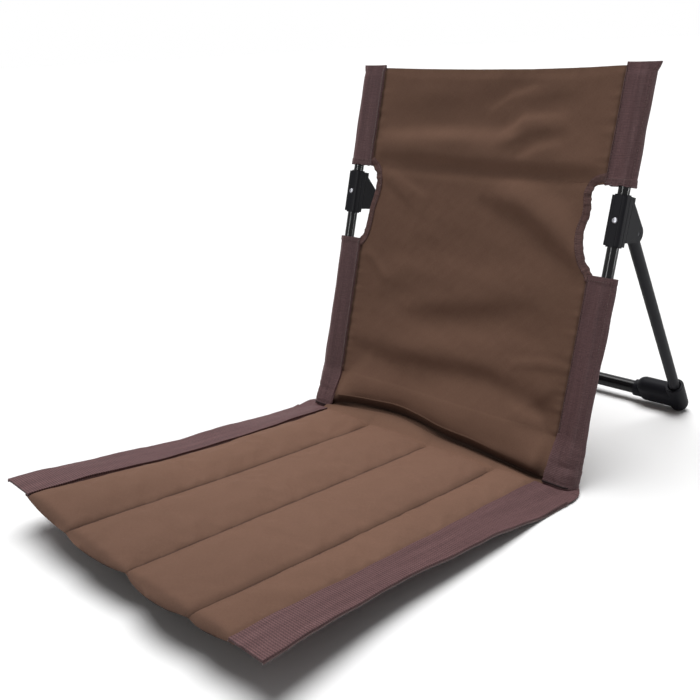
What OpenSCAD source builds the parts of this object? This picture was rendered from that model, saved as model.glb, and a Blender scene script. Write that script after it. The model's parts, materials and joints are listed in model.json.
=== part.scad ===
// Folding floor lounger: a reclined cloth back on two side tubes, a quilted seat
// pad hinged at the crease, and a support frame that folds flat behind the back.
// The chair faces -Y and stands on z = 0. Right is +x, as seen from in front.

/* [Back frame] */
// Overall width over the two tube sleeves
back_w = 400; // [370:1:430]
// Length of the back along its slope, from the lower bar's axis to the sleeve tops
back_h = 433; // [425:1:470]
// Lean of the back from upright, in degrees
recline = 15.5; // [14:0.5:20]
// Outer diameter of the side tubes
tube_d = 12.4; // [12:0.1:13.4]
// Wall of the side tubes and the lower bar
tube_wall = 1.2; // [1:0.1:1.5]
// Outer diameter of the lower crossbar
lower_bar_d = 12.4; // [12:0.1:13.4]

/* [Corner elbows and caps] */
// Outer radius of the elbow that joins a side tube to the lower bar
elbow_r = 9.5; // [9:0.1:11]
// Height of the elbow's shoulder above the lower bar's axis
elbow_h = 10.5; // [10:0.5:13]
// Depth of each spigot inside its tube
spigot_l = 18; // [12:1:26]
// Thickness of the end cap on top of a side tube
cap_h = 4; // [3:0.5:6]

/* [Pivot brackets] */
// Bare side tube between the lower sleeve and the bracket
bracket_gap = 33; // [30:0.5:36]
// Length of the bracket's sleeve
bracket_h = 51.5; // [49:0.5:54]
// Width of the bracket's sleeve
bracket_w = 18.8; // [18.4:0.1:21]
// Depth of the bracket's sleeve, front to back
bracket_depth = 17.2; // [17:0.1:19]
// Corner radius of the bracket's sleeve
bracket_corner = 4.5; // [3.5:0.5:5]
// Height of the support frame's pivot above the bracket's lower end
pivot_rise = 16.5; // [15:0.5:18]
// Distance of the pivot behind the side tube's axis
pivot_back = 33.5; // [32.5:0.5:38]
// Diameter of the pivot pin
pin_d = 5; // [4:0.5:6]
// Outer radius of the hood round the pivot
hood_r = 9.1; // [9.1:0.1:10]
// Thickness of the hood's two cheeks
cheek_wall = 2.2; // [2:0.1:3]
// Thickness of the hood's roof
roof_wall = 1.9; // [1.6:0.1:2]
// Head diameter of the rivet that fixes the bracket
rivet_head_d = 6; // [5.4:0.1:7]
// Shank diameter of that rivet
rivet_d = 3.2; // [3:0.1:4]

/* [Support frame] */
// Outer diameter of the struts
strut_d = 13; // [12:0.1:13.4]
// Wall of the struts
strut_wall = 1.2; // [1:0.1:1.5]
// Length of the support frame, from its pivot to the rear bar's axis
strut_l = 286; // [280:1:292]
// Outer diameter of the rear crossbar
bar_d = 17; // [16:0.1:17.4]
// Wall of the rear crossbar
bar_wall = 1.3; // [1:0.1:1.8]
// Length of a foot's barrel, from the strut's axis to its inner end
boot_l = 57; // [50:1:62]
// Depth of the foot, front to back
boot_depth = 22.8; // [22.2:0.1:24]
// Height of the barrel's top above the rear bar's axis, along the strut
boot_top = 21.5; // [20:0.5:23]
// Depth of the barrel's underside below that axis
boot_under = 14.5; // [14:0.5:16]
// Height of the strut socket's rim above the rear bar's axis
socket_top = 25; // [24:0.5:30]
// Distance from that axis down to the centre of the ball-shaped heel
heel_drop = 9.4; // [8:0.1:11]

/* [Tube sleeves] */
// Reach of a sleeve outward from the side tube's axis
sleeve_out = 12; // [11:0.5:14]
// Reach of a sleeve inward, to the seam with the back panel
sleeve_in = 22; // [20:0.5:26]
// Thickness of the webbing round the tube
sleeve_cloth = 1.6; // [1.2:0.1:2]
// Bare side tube between the bracket and the upper sleeve
upper_gap = 9.5; // [5:0.5:18]
// Height of the lower sleeve's top
lower_top_up = 219; // [214:1:228]
// Height of the lower sleeve's bottom
lower_end_up = 13; // [12.5:0.5:20]

/* [Back panel] */
// Thickness of the panel's cloth
panel_t = 2; // [1.5:0.1:3]
// Depth of the side notch, inward from the sleeve seam
notch_in = 13; // [8:0.5:20]
// Width of the binding sewn round the notch
binding_w = 8; // [6:0.5:10]
// Thickness of that binding
binding_t = 4; // [3:0.1:5]
// Sag of the panel behind the side tubes
panel_sag = 11; // [6:0.5:14]
// Depth of the step where the panel hangs from the upper sleeves
fold_step = 4; // [0:0.5:6]
// Height of the soft roll just under that step
fold_roll = 3; // [0:0.5:4]
// Height of the soft folds above the step
fold_ripple = 1.3; // [0:0.1:2]
// Depth of the hem along the panel's top edge
top_hem = 13; // [10:0.5:18]

/* [Seat] */
// Width of the seat over its edge tapes
seat_w = 404; // [380:1:420]
// Length of the seat, from the crease to the front edge
seat_l = 430; // [405:1:450]
// Height that the seat gains from the crease to its front edge
seat_rise = 36; // [10:1:44]
// Width of the webbing tape along each side of the seat
tape_w = 36; // [30:1:42]
// Thickness of that tape
tape_t = 3; // [2.4:0.1:3.4]
// Width of the two middle channels, between the three stitch lines
channel_w = 96; // [84:1:98]
// Sideways shift of the stitch lines from the middle
quilt_shift = 14; // [0:0.5:16]
// Thickness of each cover's cloth
cover_t = 1; // [0.8:0.1:1.2]
// Rise of each channel above its stitch lines
crown_h = 5.4; // [3:0.1:6]
// Drop of each channel below its stitch lines
belly_h = 2.6; // [1:0.1:3]
// Width of the hem along the front edge
hem_w = 9; // [6:0.5:14]
// Bow of the front edge, middle ahead of the corners
front_bow = 9; // [0:1:14]

/* [Hidden] */
$fn = 48;

// Clearances: parts that are pressed together, parts that run, and cloth on tube.
// The weld lets a flat side run into a round one instead of only touching it.
press_gap = 0.05;
run_gap = 0.3;
cloth_gap = 0.15;
overrun = 1;
weld = 0.06;

// Depth of the flats that stand on the floor
flat_depth = 0.5;

// Side tubes
tube_r = tube_d / 2;
tube_in_r = tube_r - tube_wall;
tube_x = back_w / 2 - sleeve_out;
base_z = elbow_r - flat_depth;
lower_bar_r = lower_bar_d / 2;
lower_bar_in_r = lower_bar_r - tube_wall;
cap_wall = 1.4;
cap_dome = 2;
spigot_chamfer = 0.8;
sleeve_r = tube_r + cloth_gap + sleeve_cloth;
sleeve_lip = 1.6;
sleeve_edge_r = 3;
sleeve_roof = 2;
tube_top = back_h - sleeve_roof - run_gap - cap_h;
upper_hem_up = lower_top_up + bracket_gap + bracket_h + upper_gap;

// Pivot brackets
bracket_up = lower_top_up + bracket_gap;
bracket_top = bracket_up + bracket_h;
pivot_up = bracket_up + pivot_rise;
rivet_up = bracket_up + bracket_h / 2;
rivet_head_h = 1.3;
rivet_rim_h = 0.9;
rivet_rim_slope = 0.8;
rivet_bulb_r = 2.4;
rivet_bulb_l = 2.5;
mandrel_r = 0.9;
mandrel_floor = 0.3;
bracket_collar = 1.3;
collar_wall = 2.1;
flute_r = 1.8;
flute_depth = 0.5;
flute_x = 5;
flute_y = 1.5;
lip_reach = 2.4;
lip_h = 5.5;
ear_bottom_lift = 4.5;
ear_root = 2;
pin_recess = 0.3;
pin_chamfer = 0.5;
strut_r = strut_d / 2;
hood_gap = strut_r + run_gap;
ear_half = hood_gap + cheek_wall;
hood_in_r = hood_r - roof_wall;
pocket_y = bracket_depth / 2 + roof_wall;
pivot = [pivot_back, pivot_up];
lip_top = [bracket_depth / 2 + lip_reach, bracket_top];
ear_top = lip_top - [0, lip_h];
ear_back = bracket_depth / 2 - ear_root;
ear_bottom = [ear_back, bracket_up + ear_bottom_lift];
pocket_top = [pocket_y, ear_top[1] - 2 * roof_wall];

// Support frame: the open pose is set by the floor
bar_r = bar_d / 2;
heel_r = boot_depth / 2;
pivot_y = pivot_up * sin(recline) + pivot_back * cos(recline);
pivot_z = base_z + pivot_up * cos(recline) - pivot_back * sin(recline);
lean = acos((pivot_z + flat_depth - heel_r) / (strut_l + heel_drop));
open_angle = lean + recline;
heel_y = pivot_y + (strut_l + heel_drop) * sin(lean);
neck_wall = 2.3;
neck_r = bar_r + neck_wall;
neck_l = 5;
socket_depth = 31;
socket_edge = 0.8;
socket_mouth = 1.7;
mouth_depth = 3;
bar_seat_wall = 3;
bar_end = tube_x - strut_r - bar_seat_wall;

// Seat hinge: the crease lies ahead of the elbows, so that the folded seat clears them
folded_gap = 2.6;
hinge_y = -(elbow_r + tape_t / 2 + folded_gap);
hinge_r = 2;
hinge_tab_t = 1.2;
seat_start = hinge_r + run_gap;
pad_gap = 0.2;
hinge_z = belly_h + cover_t + pad_gap + run_gap;
rise_angle = asin(seat_rise / seat_l);
pad_half = seat_w / 2 - tape_w;
panel_half_w = tube_x - sleeve_in;

// The origin is the middle of the footprint
front_y = hinge_y - seat_l * cos(rise_angle) - (cover_t + pad_gap / 2) * sin(rise_angle);
rear_y = heel_y + heel_r;
origin_y = -(front_y + rear_y) / 2;

function smooth(a, b, x) = let (t = max(0, min(1, (x - a) / (b - a)))) t * t * (3 - 2 * t);

// Point where the line from p touches the circle at c; side is 1 or -1
function tangent_point(p, c, r, side) =
    let (d = p - c, a = atan2(d[1], d[0]) + side * acos(r / norm(d)))
    c + r * [cos(a), sin(a)];

module on_back() translate([0, origin_y, base_z]) rotate([-recline, 0, 0]) children();

module on_support() on_back() translate([0, pivot_back, pivot_up]) rotate([open_angle, 0, 0]) children();

module on_seat() translate([0, origin_y + hinge_y, hinge_z]) rotate([-rise_angle, 0, 0]) children();

// What is drawn for the right side appears on the side that is asked for
module on_side(side) mirror([side < 0 ? 1 : 0, 0, 0]) children();

module below_floor() {
    reach = back_h + strut_l + seat_l;
    translate([-reach, -reach, -reach]) cube([2 * reach, 2 * reach, reach]);
}

module along_x(from_x, to_x, r)
    translate([from_x, 0, 0]) rotate([0, 90, 0]) cylinder(h = to_x - from_x, r = r);

// A plate drawn in the (y, z) plane and centred on x = 0
module side_plate(half) rotate([90, 0, 90]) translate([0, 0, -half]) linear_extrude(2 * half) children();

module tube(l, r, wall) difference() {
    cylinder(h = l, r = r);
    translate([0, 0, -overrun]) cylinder(h = l + 2 * overrun, r = r - wall);
}

// A rectangle with rounded corners
module rounded_block(w, d, r) {
    square([w - 2 * r, d], center = true);
    square([w, d - 2 * r], center = true);
    for (sx = [-1, 1], sy = [-1, 1]) translate([sx * (w / 2 - r), sy * (d / 2 - r)]) circle(r);
}

// A closed solid between two grids of points of the same size
module grid_solid(top, bottom) {
    rows = len(top);
    cols = len(top[0]);
    count = rows * cols;
    points = concat([for (row = top) each row], [for (row = bottom) each row]);
    last_row = count - cols;
    quads = concat(
        [for (r = [0:rows - 2], c = [0:cols - 2]) let (i = r * cols + c)
            [i, i + cols, i + cols + 1, i + 1]],
        [for (r = [0:rows - 2], c = [0:cols - 2]) let (i = count + r * cols + c)
            [i, i + 1, i + cols + 1, i + cols]],
        [for (c = [0:cols - 2]) [c, c + 1, count + c + 1, count + c]],
        [for (c = [0:cols - 2]) let (i = last_row + c) [i + 1, i, count + i, count + i + 1]],
        [for (r = [0:rows - 2]) let (i = r * cols) [i + cols, i, count + i, count + i + cols]],
        [for (r = [0:rows - 2]) let (i = r * cols + cols - 1) [i, i + cols, count + i + cols, count + i]]
    );
    polyhedron(points, [for (q = quads) each [[q[0], q[1], q[2]], [q[0], q[2], q[3]]]]);
}

// Side tubes and what closes their ends

module side_tube(side) color("#101012") on_back() on_side(side) translate([tube_x, 0, 0]) difference() {
    translate([0, 0, elbow_h]) tube(tube_top - elbow_h, tube_r, tube_wall);
    translate([0, 0, rivet_up]) rotate([90, 0, 0]) cylinder(h = tube_d, r = rivet_d / 2 + press_gap);
}

module lower_crossbar() color("#101012") on_back()
    translate([elbow_r - tube_x, 0, 0]) rotate([0, 90, 0])
        tube(2 * (tube_x - elbow_r), lower_bar_r, tube_wall);

module spigot(r) rotate_extrude() polygon([
    [0, 0], [r, 0], [r, spigot_l - spigot_chamfer], [r - spigot_chamfer, spigot_l], [0, spigot_l]
]);

module corner_elbow(side) color("#26262a") difference() {
    on_back() on_side(side) translate([tube_x, 0, 0]) {
        sphere(r = elbow_r, $fn = 64);
        cylinder(h = elbow_h, r = elbow_r);
        rotate([0, -90, 0]) cylinder(h = elbow_r, r = elbow_r);
        translate([0, 0, elbow_h - overrun]) spigot(tube_in_r - press_gap);
        translate([overrun - elbow_r, 0, 0]) rotate([0, -90, 0]) spigot(lower_bar_in_r - press_gap);
    }
    below_floor();
}

module tube_cap(side) color("#26262a") on_back() on_side(side) translate([tube_x, 0, tube_top]) {
    rotate_extrude() union() {
        polygon([
            [0, 0], [tube_r, 0], [tube_r, cap_h - cap_dome],
            [tube_r - cap_dome, cap_h], [0, cap_h]
        ]);
        translate([tube_r - cap_dome, cap_h - cap_dome]) intersection() {
            circle(cap_dome);
            square(cap_dome);
        }
    }
    rotate([180, 0, 0]) difference() {
        translate([0, 0, -cap_wall]) spigot(tube_in_r - press_gap);
        cylinder(h = spigot_l + overrun, r = tube_in_r - press_gap - cap_wall);
    }
}

// Pivot brackets: a fluted sleeve on the side tube with a hooded clevis behind it

module ear_outline() {
    polygon([
        ear_bottom, [ear_back, bracket_top], lip_top, ear_top,
        tangent_point(ear_top, pivot, hood_r, -1), pivot,
        tangent_point(ear_bottom, pivot, hood_r, 1)
    ]);
    translate(pivot) circle(hood_r);
}

// The room inside the hood, which the strut needs from folded to open
module ear_pocket() {
    reach = pivot_up - bracket_up + hood_r;
    translate(pivot) {
        circle(hood_in_r);
        translate([-hood_in_r, -reach]) square([2 * hood_in_r, reach]);
        rotate(open_angle) translate([-hood_in_r, -reach]) square([2 * hood_in_r, reach]);
        polygon([[0, 0], [0, -reach], reach * [sin(open_angle), -cos(open_angle)]]);
    }
    polygon([
        [pocket_y, pivot_up - reach], pocket_top,
        tangent_point(pocket_top, pivot, hood_in_r, -1), pivot,
        [pivot_back, pivot_up - reach]
    ]);
}

module bracket_sleeve() {
    translate([0, 0, bracket_up]) linear_extrude(bracket_h) difference() {
        rounded_block(bracket_w, bracket_depth, bracket_corner);
        for (sx = [-1, 1]) {
            translate([sx * flute_x, -bracket_depth / 2 - flute_r + flute_depth]) circle(flute_r);
            translate([sx * (bracket_w / 2 + flute_r - flute_depth), -flute_y]) circle(flute_r);
        }
    }
    translate([0, 0, bracket_up - bracket_collar])
        cylinder(h = bracket_h + 2 * bracket_collar, r = tube_r + collar_wall);
}

module pivot_bracket(side) color("#28282c") on_back() on_side(side) translate([tube_x, 0, 0]) difference() {
    union() {
        bracket_sleeve();
        difference() {
            side_plate(ear_half) ear_outline();
            side_plate(hood_gap) ear_pocket();
        }
    }
    translate([0, 0, bracket_up - bracket_collar - overrun])
        cylinder(h = bracket_h + 2 * (bracket_collar + overrun), r = tube_r + press_gap);
    translate([0, pivot_back, pivot_up])
        along_x(-ear_half - overrun, ear_half + overrun, pin_d / 2 + press_gap);
    translate([0, 0, rivet_up]) rotate([90, 0, 0])
        cylinder(h = bracket_depth, r = rivet_d / 2 + press_gap);
}

module blind_rivet() translate([0, -bracket_depth / 2, 0]) rotate([90, 0, 0]) rotate_extrude() {
    head_r = rivet_head_d / 2;
    polygon([
        [0, 0], [head_r, 0], [head_r - rivet_rim_slope, rivet_rim_h],
        [mandrel_r, rivet_head_h], [mandrel_r, mandrel_floor], [0, mandrel_floor]
    ]);
    wall_inside = sqrt(tube_in_r * tube_in_r - rivet_bulb_r * rivet_bulb_r) - press_gap;
    bulb_top = wall_inside - bracket_depth / 2;
    translate([0, bulb_top]) square([rivet_d / 2, -bulb_top]);
    translate([0, bulb_top - rivet_bulb_l]) square([rivet_bulb_r, rivet_bulb_l]);
}

module bracket_rivets() color("#c8c8cc") for (side = [-1, 1])
    on_back() on_side(side) translate([tube_x, 0, rivet_up]) blind_rivet();

module pivot_pins() color("#3a3a3e") for (side = [-1, 1])
    on_back() on_side(side) translate([tube_x, pivot_back, pivot_up])
    rotate([0, 90, 0]) rotate_extrude() {
        reach = ear_half - pin_recess;
        tip_r = pin_d / 2 - pin_chamfer;
        polygon([
            [0, -reach], [tip_r, -reach], [pin_d / 2, pin_chamfer - reach],
            [pin_d / 2, reach - pin_chamfer], [tip_r, reach], [0, reach]
        ]);
    }

// Cloth of the back

// A sleeve: webbing round the tube, flat to the seam on one side and to its outer edge on the other
module sleeve(l, bore_l) {
    inner = [-sleeve_in, sleeve_lip];
    weld_r = sleeve_r - weld;
    weld_edge_r = sleeve_edge_r - weld;
    touch = tangent_point(inner, [0, 0], weld_r, -1);
    edge_x = sleeve_out - sleeve_edge_r;
    a = acos((sleeve_r - sleeve_edge_r) / edge_x);
    difference() {
        union() {
            cylinder(h = l, r = sleeve_r);
            translate([edge_x, 0, 0]) cylinder(h = l, r = sleeve_edge_r);
            linear_extrude(l) polygon([
                inner, touch, [0, 0], [touch[0], -touch[1]], [inner[0], -inner[1]]
            ]);
            linear_extrude(l) polygon([
                [0, 0], weld_r * [cos(a), sin(a)], [edge_x, 0] + weld_edge_r * [cos(a), sin(a)],
                [edge_x, 0] + weld_edge_r * [cos(a), -sin(a)], weld_r * [cos(a), -sin(a)]
            ]);
        }
        translate([0, 0, -overrun]) cylinder(h = bore_l + overrun, r = tube_r + cloth_gap);
    }
}

module upper_sleeve(side) color("#4c3438") on_back() on_side(side) translate([tube_x, 0, upper_hem_up])
    sleeve(back_h - upper_hem_up, back_h - upper_hem_up - sleeve_roof);

module lower_sleeve(side) color("#4c3438") on_back() on_side(side) translate([tube_x, 0, lower_end_up])
    sleeve(lower_top_up - lower_end_up, lower_top_up);

// Free edge of the side notch at height u, with the gathers of its binding
notch_power = 2.5;
gather_h = 0.7;
gather_l = 11;
function notch_x(u) =
    let (t = (u - lower_top_up) / (upper_hem_up - lower_top_up))
    panel_half_w - notch_in * (1 - pow(abs(2 * t - 1), notch_power));
function gathered_x(u) = notch_x(u) + gather_h * (sin(360 * (u - lower_top_up) / gather_l) - 1);

module notch_binding(side) color("#46303a") on_back() on_side(side) rotate([90, 0, 0]) {
    steps = 44;
    last = len(notch_rows) - 1;
    free_rows = [for (i = [0:steps]) notch_rows[0] + (notch_rows[last] - notch_rows[0]) * i / steps];
    translate([0, 0, -binding_t / 2]) linear_extrude(binding_t) polygon(concat(
        [for (u = free_rows) [gathered_x(u), u]],
        [for (i = [last:-1:0]) [notch_x(notch_rows[i]) - binding_w, notch_rows[i]]]
    ));
}

// Rows of the back panel: below, beside and above the notches
lower_row_shares = [0, 0.03, 0.1, 0.22, 0.36, 0.5, 0.64, 0.78, 0.9, 0.998];
notch_row_shares = [0.005, 0.1, 0.22, 0.36, 0.5, 0.64, 0.76, 0.84, 0.9, 0.95, 0.995];
upper_row_shares = [0.004, 0.03, 0.07, 0.12, 0.19, 0.27, 0.36, 0.46, 0.57, 0.68, 0.8, 0.88, 0.885, 1];
notch_rows = [for (t = notch_row_shares) lower_top_up + t * (upper_hem_up - lower_top_up)];
panel_foot = lower_bar_r + cloth_gap + sleeve_cloth + cloth_gap;
panel_head = back_h - sleeve_roof;
panel_rows = concat(
    [for (t = lower_row_shares) panel_foot + t * (lower_top_up - panel_foot)],
    notch_rows,
    [for (t = upper_row_shares) upper_hem_up + t * (panel_head - upper_hem_up)]
);
panel_cols = 16;
sag_ramp = 110;
sag_lead = 36;
step_lead = 4;
step_tail = 5;
roll_span = 16;
ripple_l = 38;
top_hem_share = 1.4;

function panel_edge(u) =
    u < lower_top_up || u > upper_hem_up ? panel_half_w : notch_x(u) - binding_w;
function panel_folds(u) =
    let (above = u - upper_hem_up)
    fold_step * smooth(-step_lead, step_tail, above)
    - fold_roll * smooth(-2 * roll_span, -roll_span / 2, above)
        * (1 - smooth(-roll_span / 2, 0, above))
    + fold_ripple * sin(360 * above / ripple_l) * smooth(0, roll_span, above);
function panel_back(s, u) =
    (1 - s * s) * panel_sag * smooth(-sag_lead, sag_ramp, u - panel_foot)
        * smooth(panel_foot - overrun, panel_foot + sag_lead, u)
    + (1 - pow(s, 4)) * panel_folds(u);
function panel_half_t(u) = panel_t / 2 * (u > panel_head - top_hem ? top_hem_share : 1);
function panel_side(face) = [
    for (u = panel_rows) [
        for (c = [0:panel_cols]) let (s = 2 * c / panel_cols - 1)
        [s * panel_edge(u), panel_back(s, u) + face * panel_half_t(u), u]
    ]
];

module back_panel() color("#5a4439") on_back() grid_solid(panel_side(-1), panel_side(1));

// The panel's lower end runs round the lower bar, and its lip is the seat's cloth hinge
module panel_lower_hem() color("#5a4439") {
    half = tube_x - elbow_r - cloth_gap;
    rel_y = hinge_y;
    rel_z = hinge_z - base_z;
    along = rel_y * cos(recline) - rel_z * sin(recline);
    up = rel_y * sin(recline) + rel_z * cos(recline);
    angle = atan2(up, along);
    reach = norm([rel_y, rel_z]);
    on_back() difference() {
        union() {
            along_x(-half, half, lower_bar_r + cloth_gap + sleeve_cloth);
            side_plate(panel_half_w) {
                translate([along, up]) circle(hinge_r);
                rotate(angle) translate([0, -hinge_tab_t / 2]) square([reach, hinge_tab_t]);
            }
        }
        along_x(-half - overrun, half + overrun, lower_bar_r + cloth_gap);
    }
}

// Support frame, drawn with its pivot at the origin and its struts running down

module strut(side) color("#2e2e31") on_support() on_side(side) translate([tube_x, 0, 0]) difference() {
    foot_end = strut_l + socket_depth - socket_top;
    intersection() {
        translate([0, 0, -foot_end]) tube(foot_end + strut_r, strut_r, strut_wall);
        union() {
            along_x(-strut_d, strut_d, strut_r);
            translate([-strut_d, -strut_d, -foot_end]) cube([2 * strut_d, 2 * strut_d, foot_end]);
        }
    }
    along_x(-strut_d, strut_d, pin_d / 2 + press_gap);
}

module rear_crossbar() color("#101012") on_support() translate([-bar_end, 0, -strut_l])
    rotate([0, 90, 0]) tube(2 * bar_end, bar_r, bar_wall);

// The barrel is a tall slab round the rear bar with half-round sides, a domed end and a neck
module boot_barrel() {
    dome_x = neck_l + heel_r - boot_l;
    ups = [heel_r - boot_under, boot_top - heel_r];
    for (up = ups) translate([0, 0, up]) {
        along_x(dome_x, 0, heel_r);
        translate([dome_x, 0, 0]) sphere(r = heel_r);
    }
    translate([dome_x, 0, ups[0]]) cylinder(h = ups[1] - ups[0], r = heel_r);
    translate([dome_x, -heel_r, ups[0]]) cube([-dome_x, 2 * heel_r, ups[1] - ups[0]]);
    along_x(-boot_l, 0, neck_r);
}

// The strut's socket is upright and ends in the ball-shaped heel that stands on the floor
module strut_socket() {
    translate([0, 0, -heel_drop]) {
        sphere(r = heel_r);
        cylinder(h = socket_top + heel_drop - socket_edge, r = heel_r);
    }
    translate([0, 0, socket_top - socket_edge])
        cylinder(h = socket_edge, r1 = heel_r, r2 = heel_r - socket_edge);
}

module rear_foot(side) color("#28282c") difference() {
    on_support() on_side(side) translate([tube_x, 0, -strut_l]) difference() {
        union() {
            boot_barrel();
            strut_socket();
        }
        along_x(-boot_l - overrun, bar_end - tube_x + press_gap, bar_r + press_gap);
        translate([0, 0, socket_top - socket_depth - press_gap]) {
            cylinder(h = socket_depth + overrun, r = strut_r + press_gap);
            translate([0, 0, socket_depth + press_gap - mouth_depth])
                cylinder(h = mouth_depth + weld, r1 = strut_r, r2 = strut_r + socket_mouth);
        }
    }
    below_floor();
}

// Seat pad, drawn forward along -y from the cloth hinge

stitch_x = [for (i = [-1:1]) quilt_shift + i * channel_w];
channel_edges = concat([-pad_half], stitch_x, [pad_half]);
channel_cols = 6;
length_row_shares = [0, 0.012, 0.03, 0.055, 0.09, 0.22, 0.4, 0.6, 0.78, 0.91, 0.965, 0.985, 1];
crown_power = 0.55;
end_height_share = 0.1;
end_rise_share = 0.08;
end_fall_shares = [0.965, 1.01];
swell = 0.5;
swell_l = 96;
cover_end = seat_l - hem_w;

function channel_u(i, t) =
    let (a = channel_edges[i], b = channel_edges[i + 1])
    (a + b) / 2 + t * (b - a) / 2;
function crown(t) = pow(max(0, 1 - t * t), crown_power);
function end_taper(q) =
    let (fall = smooth(end_fall_shares[0], end_fall_shares[1], q))
    end_height_share + (1 - end_height_share) * smooth(0, end_rise_share, q) * (1 - fall);
function forward(x, q) =
    seat_start + q * (cover_end - seat_start - front_bow * pow(x / (seat_w / 2), 2));
function plump(i, q) = 1 + swell / crown_h * sin(360 * (q * seat_l / swell_l + i / 3));
cover_cols = concat(
    [for (i = [0:3], c = [0:channel_cols - 1]) [i, 2 * c / channel_cols - 1]],
    [[3, 1]]
);
// Height of one face of the pad: up is 1 for the crown and -1 for the belly
function pad_z(i, t, q, up, off) =
    up * (pad_gap / 2 + off + (up > 0 ? crown_h * plump(i, q) : belly_h) * crown(t) * end_taper(q));
function cover_face(up, off) = [
    for (q = length_row_shares) [
        for (c = cover_cols) let (x = channel_u(c[0], c[1]))
        [x, -forward(x, q), pad_z(c[0], c[1], q, up, off)]
    ]
];

module seat_top_cover() color("#7d5f52") on_seat() grid_solid(cover_face(1, 0), cover_face(1, cover_t));

module seat_bottom_cover() color("#4a3a34") on_seat()
    grid_solid(cover_face(-1, cover_t), cover_face(-1, 0));

// A foam strip fills the middle of its channel, just inside the two covers
function foam_face(i, up) = [
    for (r = [2:len(length_row_shares) - 3]) let (q = length_row_shares[r]) [
        for (c = [1:channel_cols - 1]) let (t = 2 * c / channel_cols - 1, x = channel_u(i, t))
        [x, -forward(x, q), pad_z(i, t, q, up, -pad_gap)]
    ]
];

module seat_foam(i) color("#d8d4c8") on_seat() grid_solid(foam_face(i, -1), foam_face(i, 1));

// Folded hem across the front of both covers; its front edge follows the channels
hem_row_shares = [[0, 1], [0.5, 1.25], [1, 1]];
function hem_face(up) = [
    for (row = hem_row_shares) [
        for (c = cover_cols) let (x = channel_u(c[0], c[1]))
        [x, -(forward(x, 1) + row[0] * hem_w), up * (cover_t + pad_gap / 2) * row[1]]
    ]
];
module seat_front_hem() color("#6a5046") on_seat() grid_solid(hem_face(-1), hem_face(1));

// Webbing tape along the side of the seat, with a slightly uneven outer edge
tape_wave = 0.8;
tape_wave_l = 70;
module seat_tape(side) color("#4c3438") on_seat() on_side(side) {
    steps = 36;
    outer = seat_w / 2;
    tip = seat_l - front_bow;
    translate([0, 0, -tape_t / 2]) linear_extrude(tape_t) polygon(concat(
        [[pad_half, -seat_start]],
        [for (i = [0:steps]) let (s = seat_start + (tip - seat_start) * i / steps)
            [outer - tape_wave * (1 - cos(360 * (s - seat_start) / tape_wave_l)) / 2, -s]],
        [[pad_half, -forward(pad_half, 1) - hem_w]]
    ));
}

side_tube(-1);  // side_tube_left
side_tube(1);  // side_tube_right
lower_crossbar();
corner_elbow(-1);  // corner_elbow_left
corner_elbow(1);  // corner_elbow_right
tube_cap(-1);  // tube_cap_left
tube_cap(1);  // tube_cap_right
pivot_bracket(-1);  // pivot_bracket_left
pivot_bracket(1);  // pivot_bracket_right
bracket_rivets();
pivot_pins();
back_panel();
panel_lower_hem();
upper_sleeve(-1);  // upper_sleeve_left
upper_sleeve(1);  // upper_sleeve_right
lower_sleeve(-1);  // lower_sleeve_left
lower_sleeve(1);  // lower_sleeve_right
notch_binding(-1);  // notch_binding_left
notch_binding(1);  // notch_binding_right
strut(-1);  // strut_left
strut(1);  // strut_right
rear_crossbar();
rear_foot(-1);  // rear_foot_left
rear_foot(1);  // rear_foot_right
seat_top_cover();
seat_bottom_cover();
seat_front_hem();
seat_foam(0);  // seat_foam_1
seat_foam(1);  // seat_foam_2
seat_foam(2);  // seat_foam_3
seat_foam(3);  // seat_foam_4
seat_tape(-1);  // seat_tape_left
seat_tape(1);  // seat_tape_right
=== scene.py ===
"""Looks of the folding floor lounger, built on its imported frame."""

import json
import math

import bmesh
import bpy
import numpy as np
from mathutils import Matrix, Vector

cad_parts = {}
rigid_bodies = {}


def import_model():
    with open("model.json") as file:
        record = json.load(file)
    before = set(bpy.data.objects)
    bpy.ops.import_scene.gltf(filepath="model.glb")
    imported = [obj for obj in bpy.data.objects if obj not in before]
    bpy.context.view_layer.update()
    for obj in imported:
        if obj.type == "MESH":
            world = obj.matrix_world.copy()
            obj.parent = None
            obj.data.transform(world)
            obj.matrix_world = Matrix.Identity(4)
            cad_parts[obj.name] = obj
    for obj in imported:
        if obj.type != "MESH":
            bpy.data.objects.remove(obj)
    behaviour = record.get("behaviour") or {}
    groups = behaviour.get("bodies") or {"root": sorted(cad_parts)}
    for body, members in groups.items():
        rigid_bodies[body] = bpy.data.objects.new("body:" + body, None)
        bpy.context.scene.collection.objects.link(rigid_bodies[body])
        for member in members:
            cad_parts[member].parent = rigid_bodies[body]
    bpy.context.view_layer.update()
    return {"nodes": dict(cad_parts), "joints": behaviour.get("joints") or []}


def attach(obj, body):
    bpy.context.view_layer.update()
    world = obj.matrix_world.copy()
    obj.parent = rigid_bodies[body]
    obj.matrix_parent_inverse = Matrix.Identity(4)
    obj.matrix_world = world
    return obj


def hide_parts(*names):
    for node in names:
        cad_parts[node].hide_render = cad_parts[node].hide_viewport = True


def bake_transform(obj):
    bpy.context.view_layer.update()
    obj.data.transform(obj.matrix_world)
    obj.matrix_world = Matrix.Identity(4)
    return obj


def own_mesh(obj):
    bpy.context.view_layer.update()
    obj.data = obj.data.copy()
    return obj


MM = 0.001

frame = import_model()

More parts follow.
